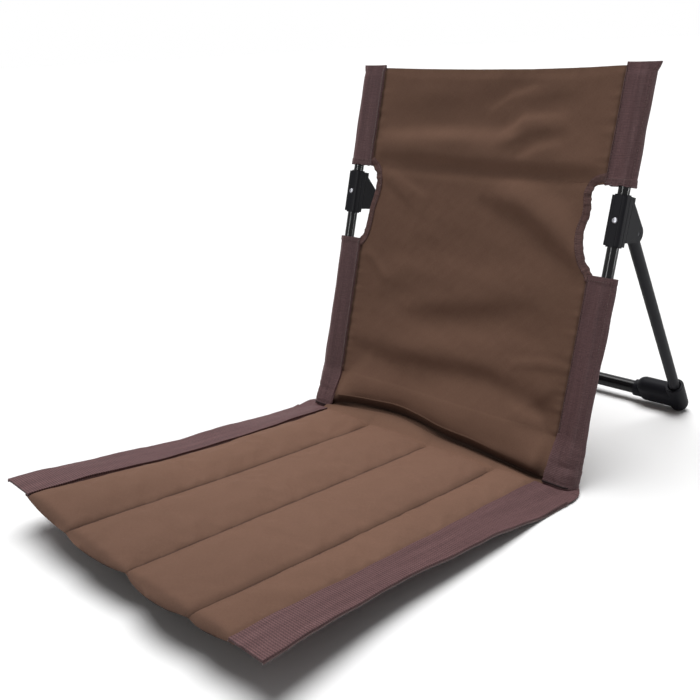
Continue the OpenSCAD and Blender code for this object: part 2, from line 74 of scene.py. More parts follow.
# Frames of the object
RECLINE = math.radians(15.5)
RISE = math.asin(36 / 430)
COS_B, SIN_B = math.cos(RECLINE), math.sin(RECLINE)
COS_S, SIN_S = math.cos(RISE), math.sin(RISE)
TUBE_X = 188.0
HINGE = next(j for j in frame["joints"] if j["name"] == "seat_fold")["pos_m"]
HINGE_Y, HINGE_Z = HINGE[1] / MM, HINGE[2] / MM
ORIGIN_Y = HINGE_Y + 13.6
BASE_Z = 9.0
SEAM_X = 166.0
LOWER_TOP = 219.0
UPPER_HEM = 313.0
BACK_TOP = 433.0
SEAT_L = 430.0
PAD_X = 166.0
HALF_CLOTH = 167.0
VALLEY_RISE = 19.0
STITCH_X = (-82.0, 14.0, 110.0)
# Thickness of the cloths, and the lowest that the soft pieces come to the ground
CLOTH_T, WEBBING_T, TAPE_T = 1.8, 1.1, 2.4
FLOOR_PAD, FLOOR_WEBBING, FLOOR_TAPE, FLOOR_TAPE_TOP = 0.9, 1.4, 1.6, 2.9
# Distances forward from the crease at which the pad and the edge tapes begin and end
PAD_START, TAPE_START, TAPE_END = 12, 23, 428.0
TAPE_WIDE = 36
PITCH, PITCH_SHORT = 3.2, 3.0
EDGES = (-PAD_X + 5.0,) + STITCH_X + (PAD_X - 5.0,)


def back_point(x, v, u):
    """Point of the back: x across, v behind the plane of the tubes, u up along them."""
    x, v, u = np.broadcast_arrays(np.asarray(x, float), v, u)
    return np.stack([x, ORIGIN_Y + v * COS_B + u * SIN_B, BASE_Z + u * COS_B - v * SIN_B], -1)


def seat_point(x, s, w):
    """Point of the seat: x across, s forward from the crease, w above its plane."""
    x, s, w = np.broadcast_arrays(np.asarray(x, float), s, w)
    return np.stack([x, HINGE_Y - s * COS_S + w * SIN_S, HINGE_Z + s * SIN_S + w * COS_S], -1)


BACK_OUT = back_point(0, -1, 0) - back_point(0, 0, 0)
BACK_UP = back_point(0, 0, 1) - back_point(0, 0, 0)
SEAT_UP = seat_point(0, 0, 1) - seat_point(0, 0, 0)
ACROSS = np.array([1.0, 0, 0])


def smooth(a, b, x):
    t = np.clip((np.asarray(x, float) - a) / (b - a), 0, 1)
    return t * t * (3 - 2 * t)


def bell(x, at, width):
    return np.exp(-(((x - at) / width) ** 2))


def above(points, floor):
    """The points, with none of them below the height floor."""
    points[..., 2] = np.maximum(points[..., 2], floor)
    return points


WAVE_OCTAVES = 3


def waves(x, y, seed, scale):
    """Soft irregular height field made of a few crossed sines, about -1 to 1."""
    r = np.random.RandomState(seed)
    total = np.zeros(np.broadcast(x, y).shape)
    amount = 0.0
    for o in range(WAVE_OCTAVES):
        for _ in range(3):
            a = r.uniform(0, 2 * math.pi)
            k = 2 * math.pi / (scale / 1.7**o) * r.uniform(0.75, 1.3)
            g = 0.6**o
            total = total + g * np.sin(k * (x * math.cos(a) + y * math.sin(a)) + r.uniform(0, 6.28))
            amount += g
    return total / amount * 1.6


# Mesh helpers
def place(name, data):
    obj = bpy.data.objects.new(name, data)
    bpy.context.scene.collection.objects.link(obj)
    return obj


def make_object(name, verts, faces, uvs=None, material=None):
    mesh = bpy.data.meshes.new(name)
    mesh.from_pydata((np.asarray(verts) * MM).tolist(), [], faces)
    mesh.validate()
    mesh.polygons.foreach_set("use_smooth", [True] * len(mesh.polygons))
    if uvs is not None:
        layer = mesh.uv_layers.new(name="cloth")
        loops = np.zeros(len(mesh.loops), np.int32)
        mesh.loops.foreach_get("vertex_index", loops)
        layer.data.foreach_set("uv", (np.asarray(uvs)[loops] * MM).astype(np.float32).ravel())
    mesh.update()
    if material:
        mesh.materials.append(material)
    return place(name, mesh)


def grid_quads(rows, cols, start=0, flip=False, wrap=False):
    r, c = np.meshgrid(np.arange(rows - 1), np.arange(cols if wrap else cols - 1), indexing="ij")
    a = start + r * cols + c
    b = start + r * cols + (c + 1) % cols
    d = start + (r + 1) * cols + c
    e = start + (r + 1) * cols + (c + 1) % cols
    q = np.stack([a, d, e, b] if flip else [a, b, e, d], -1).reshape(-1, 4)
    return q.tolist()


def grid_normals(p):
    du = np.gradient(p, axis=0)
    dv = np.gradient(p, axis=1)
    n = np.cross(dv, du)
    return n / np.maximum(np.linalg.norm(n, axis=-1, keepdims=True), 1e-9)


def rim_ids(rows, cols):
    """Places of a grid's border points, in order round it."""
    rim = (
        [(0, c) for c in range(cols)]
        + [(r, cols - 1) for r in range(1, rows)]
        + [(rows - 1, c) for c in range(cols - 2, -1, -1)]
        + [(r, 0) for r in range(rows - 2, 0, -1)]
    )
    return [r * cols + c for r, c in rim]


def uv_grid(across, along):
    return np.stack(np.meshgrid(across, along), -1)


def shell(name, top, thickness, uv, material, flip=False, under=None):
    """Closed sheet: the grid of points top, and the same grid set back by its thickness."""
    rows, cols = top.shape[:2]
    n = grid_normals(top) * (-1 if flip else 1)
    bottom = top - n * thickness if under is None else under
    count = rows * cols
    verts = np.concatenate([top.reshape(-1, 3), bottom.reshape(-1, 3)])
    faces = grid_quads(rows, cols, 0, not flip) + grid_quads(rows, cols, count, flip)
    ids = rim_ids(rows, cols)
    for i, a in enumerate(ids):
        b = ids[(i + 1) % len(ids)]
        faces.append([a, b, b + count, a + count] if not flip else [b, a, a + count, b + count])
    uvs = np.concatenate([uv.reshape(-1, 2), uv.reshape(-1, 2)])
    obj = make_object(name, verts, faces, uvs, material)
    fix_normals(obj)
    crisp(obj, 55)
    return obj


def crisp(obj, degrees):
    obj.modifiers.new("edges", "EDGE_SPLIT").split_angle = math.radians(degrees)


def fix_normals(obj):
    bm = bmesh.new()
    bm.from_mesh(obj.data)
    bmesh.ops.recalc_face_normals(bm, faces=bm.faces)
    bm.to_mesh(obj.data)
    bm.free()


def loft(name, rings, uv, material, inner=None):
    """Tube of closed rings, capped at its ends, or open on a bore when inner rings are given."""
    rows, cols = rings.shape[:2]
    verts = [rings.reshape(-1, 3)]
    uvs = [uv.reshape(-1, 2)]
    faces = grid_quads(rows, cols, 0, False, wrap=True)
    if inner is None:
        for r, flip in ((0, True), (rows - 1, False)):
            ids = [r * cols + c for c in range(cols)]
            faces.append(ids[::-1] if flip else ids)
    else:
        count = rows * cols
        verts.append(inner.reshape(-1, 3))
        uvs.append(uv.reshape(-1, 2))
        faces += grid_quads(rows, cols, count, True, wrap=True)
        for r in (0, rows - 1):
            for c in range(cols):
                a, b = r * cols + c, r * cols + (c + 1) % cols
                faces.append([a, b, b + count, a + count])
    obj = make_object(name, np.concatenate(verts), faces, np.concatenate(uvs), material)
    fix_normals(obj)
    return obj


def cord(name, line, radius, axis_1, axis_2, along, material, body, wrap=None):
    """Thin round cord along a line, its section spanned by two axes."""
    ring = np.linspace(0, 2 * math.pi, 8, endpoint=False)
    around = radius * (np.cos(ring)[:, None] * axis_1 + np.sin(ring)[:, None] * axis_2)
    uv = uv_grid(ring * (wrap or radius), along)
    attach(loft(name, line[:, None, :] + around[None], uv, material), body)


# One stitch: places along it, its radius there and its height over the cloth, as shares
STITCH = tuple(zip((-0.5, -0.3, 0, 0.3, 0.5), (0.25, 0.85, 1.0, 0.85, 0.25), (-0.9, 0.15, 0.5, 0.15, -0.9)))
THREAD_R, THREAD_LIFT, THREAD_SIDES = 0.33, 0.12, 6


def sew(name, path, normals, material, body, pitch=PITCH):
    """A sewn line: one small rounded thread after another along a path on the cloth."""
    path = np.asarray(path, float)
    normals = np.broadcast_to(np.asarray(normals, float), path.shape)
    dist = np.concatenate([[0], np.cumsum(np.linalg.norm(np.diff(path, axis=0), axis=1))])
    verts, faces = [], []

    def at(d):
        return np.array([np.interp(d, dist, path[:, i]) for i in range(3)])

    for k in range(int(dist[-1] / pitch)):
        mid = (k + 0.5) * pitch
        n = np.array([np.interp(mid, dist, normals[:, i]) for i in range(3)])
        n /= max(np.linalg.norm(n), 1e-9)
        t = at(mid + 0.5) - at(mid - 0.5)
        t /= max(np.linalg.norm(t), 1e-9)
        side = np.cross(n, t)
        base = len(verts)
        for q, r, h in STITCH:
            c = at(mid + q * pitch * 0.72) + n * (THREAD_LIFT + h * THREAD_R)
            for a in range(THREAD_SIDES):
                ang = a * math.pi / 3
                verts.append(c + THREAD_R * r * (math.cos(ang) * side + 0.8 * math.sin(ang) * n))
        for j in range(base, base + 4 * THREAD_SIDES, THREAD_SIDES):
            for a in range(THREAD_SIDES):
                b = (a + 1) % THREAD_SIDES
                faces.append([j + a, j + b, j + THREAD_SIDES + b, j + THREAD_SIDES + a])
        faces.append([base + a for a in range(THREAD_SIDES - 1, -1, -1)])
        faces.append([base + 4 * THREAD_SIDES + a for a in range(THREAD_SIDES)])
    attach(make_object(name, verts, faces, None, material), body)


# Materials
def srgb(r, g, b):
    out = []
    for c in (r, g, b):
        c /= 255
        out.append(c / 12.92 if c <= 0.04045 else ((c + 0.055) / 1.055) ** 2.4)
    return (*out, 1.0)


class Nodes:
    """Shorthand for building the shader tree of a new material, or of the owner given."""

    def __init__(self, name, owner=None):
        self.mat = owner or bpy.data.materials.new(name)
        self.mat.use_nodes = True
        self.tree = self.mat.node_tree

    def add(self, kind, inputs=None, **props):
        node = self.tree.nodes.new(kind)
        for k, v in props.items():
            setattr(node, k, v)
        for k, v in (inputs or {}).items():
            self.plug(v, node.inputs[k])
        return node

    def plug(self, value, socket):
        if isinstance(value, bpy.types.NodeSocket):
            self.tree.links.new(value, socket)
        else:
            socket.default_value = value

    def surface(self, name, value):
        self.plug(value, self.tree.nodes["Principled BSDF"].inputs[name])

    def mul(self, a, b):
        return self.math("MULTIPLY", a, b)

    def mad(self, a, b, c):
        return self.math("MULTIPLY_ADD", a, b, c)

    def tint(self, colour, tone):
        """The colour, made lighter or darker by the factor tone."""
        rgb = self.add("ShaderNodeCombineColor", {0: tone, 1: tone, 2: tone})
        return self.mix(1.0, colour, rgb.outputs[0], "MULTIPLY")

    def math(self, op, a, b=0.0, c=None):
        inputs = {0: a, 1: b}
        if c is not None:
            inputs[2] = c
        return self.add("ShaderNodeMath", inputs, operation=op).outputs[0]

    def ramp(self, value, stops):
        """Grey between two stops, each given as its place and how light it is."""
        node = self.add("ShaderNodeValToRGB", {0: value})
        for e, (pos, light) in zip(node.color_ramp.elements, stops):
            e.position = pos
            e.color = (light, light, light, 1)
        return node.outputs[0]

    def mix(self, fac, a, b, blend="MIX"):
        node = self.add("ShaderNodeMix", data_type="RGBA", blend_type=blend)
        self.plug(fac, node.inputs[0])
        self.plug(a, node.inputs[6])
        self.plug(b, node.inputs[7])
        return node.outputs[2]

    def noise(self, coords, scale, detail=3.0, rough=0.55):
        inputs = {"Vector": coords, "Scale": scale, "Detail": detail, "Roughness": rough}
        return self.add("ShaderNodeTexNoise", inputs).outputs[0]

    def cloth_coords(self):
        """The cloth's own coordinates: both together, across it and along it."""
        uv = self.add("ShaderNodeUVMap", uv_map="cloth").outputs[0]
        sep = self.add("ShaderNodeSeparateXYZ", {0: uv}).outputs
        return uv, sep[0], sep[1]

    def object_coords(self):
        return self.add("ShaderNodeTexCoord").outputs["Object"]

    def wave(self, value, pitch):
        return self.math("SINE", self.mul(value, 2 * math.pi / (pitch * MM)))

    def fabric(self, *values):
        """Roughness, specular level, sheen, its roughness and tint, and the normal of a cloth."""
        names = ("Roughness", "Specular IOR Level", "Sheen Weight", "Sheen Roughness", "Sheen Tint", "Normal")
        for name, value in zip(names, values):
            self.surface(name, value)

    def stretch(self, coords, sx, sy, sz=1.0):
        return self.add("ShaderNodeMapping", {"Vector": coords, "Scale": (sx, sy, sz)}).outputs[0]

    def bump(self, height, strength, distance, normal=None):
        inputs = {"Height": height, "Strength": strength, "Distance": distance}
        if normal is not None:
            inputs["Normal"] = normal
        return self.add("ShaderNodeBump", inputs).outputs[0]


WEAVE_PITCH, WEAVE_DEPTH = 0.9, 0.35
WARP_PITCH = 2.3


def cloth_material(name, base, warm, dark, sheen=0.25, rough=0.82, painted_shade=()):
    """Woven cloth: two crossed thread waves, slubs along both threads, slow colour drift, and bands of
    painted shade.
    """
    n = Nodes(name)
    uv, across, along = n.cloth_coords()
    weave_h = n.mul(n.wave(across, WEAVE_PITCH), n.wave(along, WEAVE_PITCH))
    slub_x = n.noise(n.stretch(uv, 1.0, 14.0), 260.0, 2.0)
    slub_y = n.noise(n.stretch(uv, 14.0, 1.0), 260.0, 2.0)
    slub = n.math("ADD", slub_x, slub_y)
    drift = n.noise(uv, 9.0, 4.0, 0.6)
    patch = n.noise(uv, 38.0, 3.0, 0.5)
    colour = n.mix(n.mul(drift, 0.9), base, warm)
    colour = n.mix(n.mul(n.math("SUBTRACT", patch, 0.45), 0.5), colour, dark)
    tone = n.mad(n.math("SUBTRACT", slub, 1.0), 0.4, 1.0)
    tone = n.mad(weave_h, 0.06, tone)
    # painted shade: each band darkens the colour where shade falls on the cloth
    for axis, at, width, amount in painted_shade:
        off = n.math("DIVIDE", n.math("SUBTRACT", (across, along)[axis], at * MM), width * MM)
        near = n.math("POWER", math.e, n.mul(n.mul(off, off), -1.0))
        tone = n.mul(tone, n.mad(near, -amount, 1.0))
    n.surface("Base Color", n.tint(colour, tone))
    h = n.mad(slub, 0.6, n.mul(weave_h, 0.5))
    nrm = n.bump(h, WEAVE_DEPTH, 0.25 * MM)
    nrm = n.bump(n.noise(uv, 130.0, 3.0, 0.6), 0.12, 0.4 * MM, nrm)
    n.fabric(n.mad(patch, 0.12, rough - 0.06), 0.08, sheen, 0.45, warm, nrm)
    return n.mat


def webbing_material(name, base, light, dark, along=1.0, ribs=0.05, pitch=1.7):
    """Narrow woven tape: ribs across its width, warp streaks along it, and paler where its ridges stand
    raised.
    """
    n = Nodes(name)
    uv, width, length = n.cloth_coords()
    rib, warp = n.wave(length, pitch), n.wave(width, WARP_PITCH)
    streak = n.noise(n.stretch(uv, 30.0, 0.9), 26.0, 3.0, 0.7)
    band = n.noise(n.stretch(uv, 1.0, 0.05), 150.0, 2.0, 0.5)
    across = n.noise(n.stretch(uv, 2.0, 30.0), 40.0, 3.0, 0.6)
    patch = n.noise(uv, 30.0, 4.0, 0.6)
    fleck = n.noise(uv, 620.0, 2.0, 0.6)
    grey = 0.5 - 0.5 * along
    colour = n.mix(n.ramp(streak, ((0.15, grey), (0.85, 1 - grey))), dark, light)
    colour = n.mix(n.mul(patch, 0.6), colour, base)
    colour = n.mix(n.ramp(band, ((0.3, 0.4), (0.66, 0))), colour, dark)
    tone = n.mad(n.math("SUBTRACT", across, 0.5), 0.9, 1.0)
    tone = n.mad(n.math("SUBTRACT", fleck, 0.5), 0.8, tone)
    tone = n.mad(n.mul(rib, warp), 0.16, tone)
    tone = n.mad(rib, ribs, tone)
    n.surface("Base Color", n.tint(colour, tone))
    h = n.math("ADD", n.mul(rib, 0.5), n.mul(warp, 0.5))
    h = n.mad(across, 1.2, h)
    nrm = n.bump(h, 0.5, 0.25 * MM)
    nrm = n.bump(n.noise(n.stretch(uv, 6.0, 1.0), 60.0, 3.0, 0.6), 0.3, 0.8 * MM, nrm)
    n.fabric(n.mad(patch, 0.2, 0.55), 0.12, 0.25, 0.4, light, nrm)
    return n.mat


THREAD_SHADE = (0.01, 0.006, 0.006, 1)


def thread_material(name, col, sheen=0.4):
    n = Nodes(name)
    obj = n.object_coords()
    v = n.noise(obj, 900.0, 2.0)
    n.surface("Base Color", n.mix(n.mul(v, 0.8), col, THREAD_SHADE))
    n.surface("Roughness", 0.6)
    n.surface("Sheen Weight", sheen)
    n.surface("Specular IOR Level", 0.1)
    n.surface("Normal", n.bump(v, 0.3, 0.1 * MM))
    return n.mat


def painted_material(name, col, rough, speck, peel, spec):
    """Powder coat or enamel: orange peel, dust in its roughness and small scuffs."""
    n = Nodes(name)
    obj = n.object_coords()
    drift = n.noise(obj, 22.0, 4.0, 0.6)
    fine = n.noise(obj, 900.0, 2.0, 0.5)
    scuff = n.noise(n.stretch(obj, 1.0, 1.0, 0.25), 160.0, 5.0, 0.75)
    marks = n.ramp(scuff, ((0.66, 0), (0.74, 1)))
    pale = tuple(min(1.0, c * 2.6 + 0.012) for c in col[:3]) + (1.0,)
    dusty = tuple(min(1.0, c * 1.35 + 0.002) for c in col[:3]) + (1.0,)
    colour = n.mix(drift, col, dusty)
    colour = n.mix(n.mul(marks, speck), colour, pale)
    n.surface("Base Color", colour)
    r = n.mad(drift, 0.16, rough - 0.08)
    n.surface("Roughness", n.mad(marks, 0.15, r))
    n.surface("Specular IOR Level", spec)
    nrm = n.bump(fine, peel, 0.05 * MM)
    nrm = n.bump(n.noise(obj, 240.0, 2.0), peel * 0.6, 0.12 * MM, nrm)
    n.surface("Normal", nrm)
    return n.mat


def metal_material(name, col, rough):
    n = Nodes(name)
    obj = n.object_coords()
    v = n.noise(obj, 500.0, 4.0, 0.7)
    shade = tuple(c * 0.6 for c in col[:3]) + (1,)
    n.surface("Base Color", n.mix(n.mul(v, 0.6), col, shade))
    n.surface("Metallic", 1.0)
    n.surface("Roughness", n.mad(v, 0.2, rough - 0.1))
    n.surface("Normal", n.bump(v, 0.2, 0.05 * MM))
    return n.mat


# Painted shade: darker bands on the cloth where shade falls, each given by its axis, its place and its width
# in mm, and how much darker
# painted shade of the seam beside each sleeve's inner edge
SLEEVE_PAINTED_SHADE = ((0, -163.8, 2.4, 0.6), (0, 164.8, 1.8, 0.35))
# painted shade: along each stitched groove of the seat
SEAM_PAINTED_SHADE = tuple((0, x, w, a) for x in STITCH_X for w, a in ((1.3, 0.42), (5.0, 0.12)))
# painted shade: beside the third groove, along the pad's front edge, and broadly darker towards the seat's
# front
SEAT_PAINTED_SHADE = SEAM_PAINTED_SHADE + ((0, 107.5, 5.0, 0.16), (1, 428.0, 5.0, 0.25), (1, 440.0, 130.0, 0.17))
# painted shade: a dark band along the bottom of the crease and softer ones on each side of it
CREASE_PAINTED_SHADE = ((1, 4.0, 8.5, 0.52), (1, 10.0, 9.0, 0.28), (1, -9.0, 7.5, 0.36))
BROWN = (srgb(112, 85, 70), srgb(122, 92, 77), srgb(100, 76, 64))
CLOTH = cloth_material("cloth_brown", *BROWN, painted_shade=SLEEVE_PAINTED_SHADE)
# painted light: the seat's brown is a slightly lighter copy of the back's, for the seat that faces up to the
# light
BROWN_SEAT_LIT = (srgb(116, 88, 74), srgb(124, 94, 79), srgb(106, 80, 67))
CLOTH_SEAT = cloth_material("cloth_seat", *BROWN_SEAT_LIT, painted_shade=SEAT_PAINTED_SHADE)
CLOTH_CREASE = cloth_material("cloth_crease", *BROWN, painted_shade=CREASE_PAINTED_SHADE)
DULL = (srgb(70, 54, 48), srgb(80, 62, 54), srgb(58, 46, 42))
LINING = cloth_material("cloth_lining", *DULL, rough=0.88, sheen=0.1)
PLUM = (srgb(98, 72, 73), srgb(128, 98, 99), srgb(70, 49, 51))
WEBBING = webbing_material("webbing_plum", *PLUM, along=0.6, ribs=0.08)
TAPE_PLUM = (srgb(95, 69, 70), srgb(124, 94, 94), srgb(66, 46, 48))
TAPE = webbing_material("webbing_tape", *TAPE_PLUM, along=0.3, ribs=0.3, pitch=2.6)
BINDING = webbing_material("binding_plum", srgb(94, 67, 64), srgb(120, 90, 84), srgb(64, 44, 43))
THREAD = thread_material("thread_wine", srgb(84, 44, 44))
THREAD_PALE = thread_material("thread_pale", srgb(128, 99, 95))
EDGE_PALE = thread_material("edge_pale", srgb(136, 108, 106))
# painted shade: the near-black colour of the hem cord stands in for the shade of the sleeve's turned-under
# hem
HEM_PAINTED_SHADE = thread_material("hem_dark", srgb(42, 25, 26), 0.0)
PIPING = thread_material("piping_pale", srgb(108, 84, 82))
GLOSS = painted_material("tube_enamel", srgb(16, 16, 18), rough=0.16, speck=0.12, peel=0.05, spec=0.18)
MATT = painted_material("strut_powder", srgb(42, 42, 45), rough=0.5, speck=0.25, peel=0.3, spec=0.1)
PLASTIC = painted_material("moulded_plastic", srgb(25, 25, 29), rough=0.45, speck=0.12, peel=0.2, spec=0.06)
PIN = metal_material("pin_dark", srgb(50, 50, 54), 0.4)
RIVET = metal_material("rivet_bright", srgb(150, 150, 155), 0.42)

# Frame parts keep their shape
BOTH = ("left", "right")
MOULDED = ("corner_elbow", "tube_cap", "pivot_bracket", "rear_foot")
CAD_LOOK = {
    GLOSS: ["side_tube_left", "side_tube_right", "lower_crossbar", "rear_crossbar"],
    MATT: [f"strut_{tag}" for tag in BOTH],
    PLASTIC: [f"{moulded}_{tag}" for moulded in MOULDED for tag in BOTH],
    PIN: ["pivot_pins"],
    RIVET: ["bracket_rivets"],
}
for look, names in CAD_LOOK.items():
    for node_name in names:
        node = frame["nodes"][node_name]
        node.data.materials.clear()
        node.data.materials.append(look)
        node.data.polygons.foreach_set("use_smooth", [True] * len(node.data.polygons))
        crisp(node, 32)

# Back cloth
# Edge of the side notches, as height and distance from the middle, on the left and on the right
NOTCH_EDGE = {
    -1: (
        (216, 171), (222, 165), (231, 161.5), (243, 159.5), (262, 157.5),
        (278, 154), (290, 153), (300, 154.5), (308, 159), (316, 168),
    ),
    1: (
        (216, 172), (224, 167), (231, 160.5), (240, 156.5), (252, 152.5), (266, 150.5),
        (280, 153.5), (292, 153), (301, 151.2), (308, 152.4), (312, 155.2), (316, 168),
    ),
}


def catmull_1d(table, at):
    """Smooth curve through a table of (place, value)."""
    x = np.array([p[0] for p in table], float)
    y = np.array([p[1] for p in table], float)
    slope = np.gradient(y, x)
    i = np.clip(np.searchsorted(x, at) - 1, 0, len(x) - 2)
    h = x[i + 1] - x[i]
    q = np.clip((at - x[i]) / h, 0, 1)
    return (
        (2 * q**3 - 3 * q**2 + 1) * y[i]
        + (q**3 - 2 * q**2 + q) * h * slope[i]
        + (3 * q**2 - 2 * q**3) * y[i + 1]
        + (q**3 - q**2) * h * slope[i + 1]
    )


def notch_x(side, u):
    return catmull_1d(NOTCH_EDGE[side], np.asarray(u, float))


# Folds of the back: how steeply the cloth leans along each stroke, its points, its width and its fade
# A stroke above zero faces up to the light, and one below zero turns away from it
STROKES = (
    (0.09, ((-130, 42), (-34, 46), (40, 40)), 13),
    (-0.2, ((-150, 86), (-87, 80), (-9, 84), (60, 88), (116, 80), (156, 70)), 12),
    (0.06, ((-60, 112), (64, 131), (165, 142)), 13),
    (-0.16, ((-78, 140), (-35, 146), (34, 158), (98, 176)), 12),
    (0.08, ((-113, 196), (-16, 204), (91, 206)), 17),
    (-0.06, ((-150, 150), (-140, 230), (-110, 290)), 22),
    (-0.31, ((14, 286), (66, 274), (102, 253), (152, 224)), 11),
    (0.17, ((40, 306), (80, 300), (120, 284), (144, 252)), 15),
    (0.15, ((-130, 309), (-104, 296), (-75, 282)), 4),
    (-0.13, ((-140, 296), (-116, 282), (-96, 270)), 5),
    (-0.3, ((-168, 327), (-58, 326), (30, 324), (108, 324), (164, 326)), 7.0),
    (0.16, ((-164, 308), (26, 309), (160, 310)), 4.5),
    (0.3, ((-150, 354), (-53, 360), (34, 360)), 10),
    (-0.09, ((-130, 392), (-60, 396), (-16, 404), (27, 416)), 12),
    (-0.06, ((96, 66), (130, 56), (160, 52)), 15),
    (-0.05, ((-130, 160), (-95, 172), (-60, 168)), 20),
    (0.19, ((20, 362), (50, 380), (100, 384)), 6),
    (-0.16, ((30, 347), (64, 362), (104, 367)), 5),
    (0.15, ((50, 336), (77, 350), (102, 354)), 5),
    (-0.09, ((46, 398), (104, 404)), 7),
    (0.14, ((0, 390), (29, 406), (62, 414)), 4),
    (0.05, ((70, 420), (140, 421)), 7),
    (-0.08, ((120, 58), (150, 84), (164, 100)), 6),
    (0.10, ((104, 62), (164, 55)), 5),
    (-0.10, ((110, 46), (162, 42)), 5),
    (0.08, ((-160, 214), (-132, 196), (-112, 176)), 4),
    (-0.08, ((-162, 203), (-138, 188), (-120, 168)), 4),
    (0.08, ((162, 122), (120, 118), (92, 112)), 4),
    (-0.08, ((162, 112), (122, 108), (96, 102)), 4),
)


FOLD_GAIN = 2.45


def lean(x, u):
    """Slope of the cloth at x, u as the sum of the strokes."""
    total = np.zeros(np.broadcast(x, u).shape)
    for amount, points, width in STROKES:
        pts = np.array(points, float)
        seg = np.linalg.norm(np.diff(pts, axis=0), axis=1)
        along = np.concatenate([[0], np.cumsum(seg)]) / seg.sum()
        best = np.full(total.shape, 1e9)
        where = np.zeros(total.shape)
        for k in range(len(seg)):
            d = (pts[k + 1] - pts[k]) / seg[k]
            q = np.clip(((x - pts[k, 0]) * d[0] + (u - pts[k, 1]) * d[1]) / seg[k], 0, 1)
            far = np.hypot(x - pts[k, 0] - q * seg[k] * d[0], u - pts[k, 1] - q * seg[k] * d[1])
            near = far < best
            where = np.where(near, along[k] + q * (along[k + 1] - along[k]), where)
            best = np.minimum(best, far)
        fade = 0.35 + 0.65 * np.sin(np.pi * np.clip(where, 0.02, 0.98)) ** 0.6
        total += FOLD_GAIN * amount * bell(best, 0, width) * fade
    return total


FOLD_STEP = 1.5
FOLD_X = np.linspace(-168, 168, 113)
FOLD_U = np.arange(0, 441, FOLD_STEP)
fold_slope = lean(*np.meshgrid(FOLD_X, FOLD_U))
fold_sum = np.cumsum((fold_slope[1:] + fold_slope[:-1]) / 2 * FOLD_STEP, axis=0)
fold_v = np.vstack([np.zeros((1, len(FOLD_X))), fold_sum])
# the cloth is stretched between its ends, so each fold leaves its mean surface only near by
FOLD_REACH = 26.0
around_u = np.exp(-(((FOLD_U[:, None] - FOLD_U[None]) / FOLD_REACH) ** 2) / 2)
fold_v = fold_v - (around_u / around_u.sum(1, keepdims=True)) @ fold_v


def folds(x, u):
    """Depth of the folds at x, u, read off their table."""
    fx = np.clip((x - FOLD_X[0]) / (FOLD_X[1] - FOLD_X[0]), 0, len(FOLD_X) - 1.001)
    fu = np.clip((u - FOLD_U[0]) / (FOLD_U[1] - FOLD_U[0]), 0, len(FOLD_U) - 1.001)
    i, j = fu.astype(int), fx.astype(int)
    a, b = fu - i, fx - j
    return (
        fold_v[i, j] * (1 - a) * (1 - b)
        + fold_v[i, j + 1] * (1 - a) * b
        + fold_v[i + 1, j] * a * (1 - b)
        + fold_v[i + 1, j + 1] * a * b
    )


# The bottom of the crease: place across, and how far behind the foot of the tubes and above the floor
VALLEY = (
    (-170, -12, 9), (-147, -8, 11.5), (-103, -3.6, 15.2), (-58, 2.2, 16.6), (-20, -1.6, 15.8),
    (10, -6.0, 13.2), (60, -8.4, 11.2), (108, -11, 9.4), (140, -13, 7.6), (170, -14.5, 5.6),
)
VALLEY_Y = [(x, y) for x, y, z in VALLEY]
VALLEY_Z = [(x, z) for x, y, z in VALLEY]


def crease_foot(x):
    """Depth of the back cloth just above the crease."""
    y, z = catmull_1d(VALLEY_Y, x), catmull_1d(VALLEY_Z, x) + VALLEY_RISE
    return (y + 0.6 - 1.4 * smooth(-60, 40, x)) * COS_B - (z - BASE_Z) * SIN_B + 1.2


def pocket_front(u):
    """How far the front of the sleeve's foot stands before the plane of the tubes at height u."""
    return 1.9 + 8.85 * smooth(46, 6, u) + 3.4 * smooth(16, -8, u)


def back_v(x, u):
    """How far the front of the cloth lies behind the plane of the side tubes."""
    x, u = np.broadcast_arrays(np.asarray(x, float), np.asarray(u, float))
    s = np.clip(x / HALF_CLOTH, -1, 1)
    inward = 1 - np.abs(s)
    belly = 1 - s * s
    body = 9 * smooth(20, 190, u) * belly
    low = crease_foot(x)
    rise = smooth(8, 92 - 50 * smooth(112, 166, np.abs(x)), u)
    v = low + (body - low) * rise + folds(x, u) * smooth(0, 0.12, inward)
    edge = smooth(0, 0.25, inward)
    v = v + 0.7 * waves(x, u, 11, 120) * edge * smooth(20, 70, u)
    v = v + 0.25 * waves(x, u, 4, 26) * edge * smooth(20, 70, u)
    v = v - 0.5 * bell(u, BACK_TOP - 12, 5) * edge
    close = np.exp(-np.clip(inward, 0, 1) * HALF_CLOTH / 8)
    away = 1 - smooth(LOWER_TOP - 12, LOWER_TOP, u) * (1 - smooth(UPPER_HEM, UPPER_HEM + 12, u))
    pucker = np.sin(u / 1.9 + 1.3 * np.sin(u / 13.0)) + 0.9 * np.sin(u / 3.3 + 2 + 0.8 * np.sin(u / 21))
    v = v + 0.5 * pucker * close * away * smooth(0, 0.012, inward)
    notch = smooth(LOWER_TOP - 4, LOWER_TOP + 4, u) * (1 - smooth(UPPER_HEM - 4, UPPER_HEM + 2, u))
    v = v + 0.8 * (1 - notch) * np.exp(-inward * HALF_CLOTH / 4)
    return v - 1.2


def back_edge(side, u):
    u = np.asarray(u, float)
    inside = (u > LOWER_TOP - 1) & (u < UPPER_HEM + 1)
    return np.where(inside, notch_x(side, u) - 3.0, SEAM_X + 2.0)


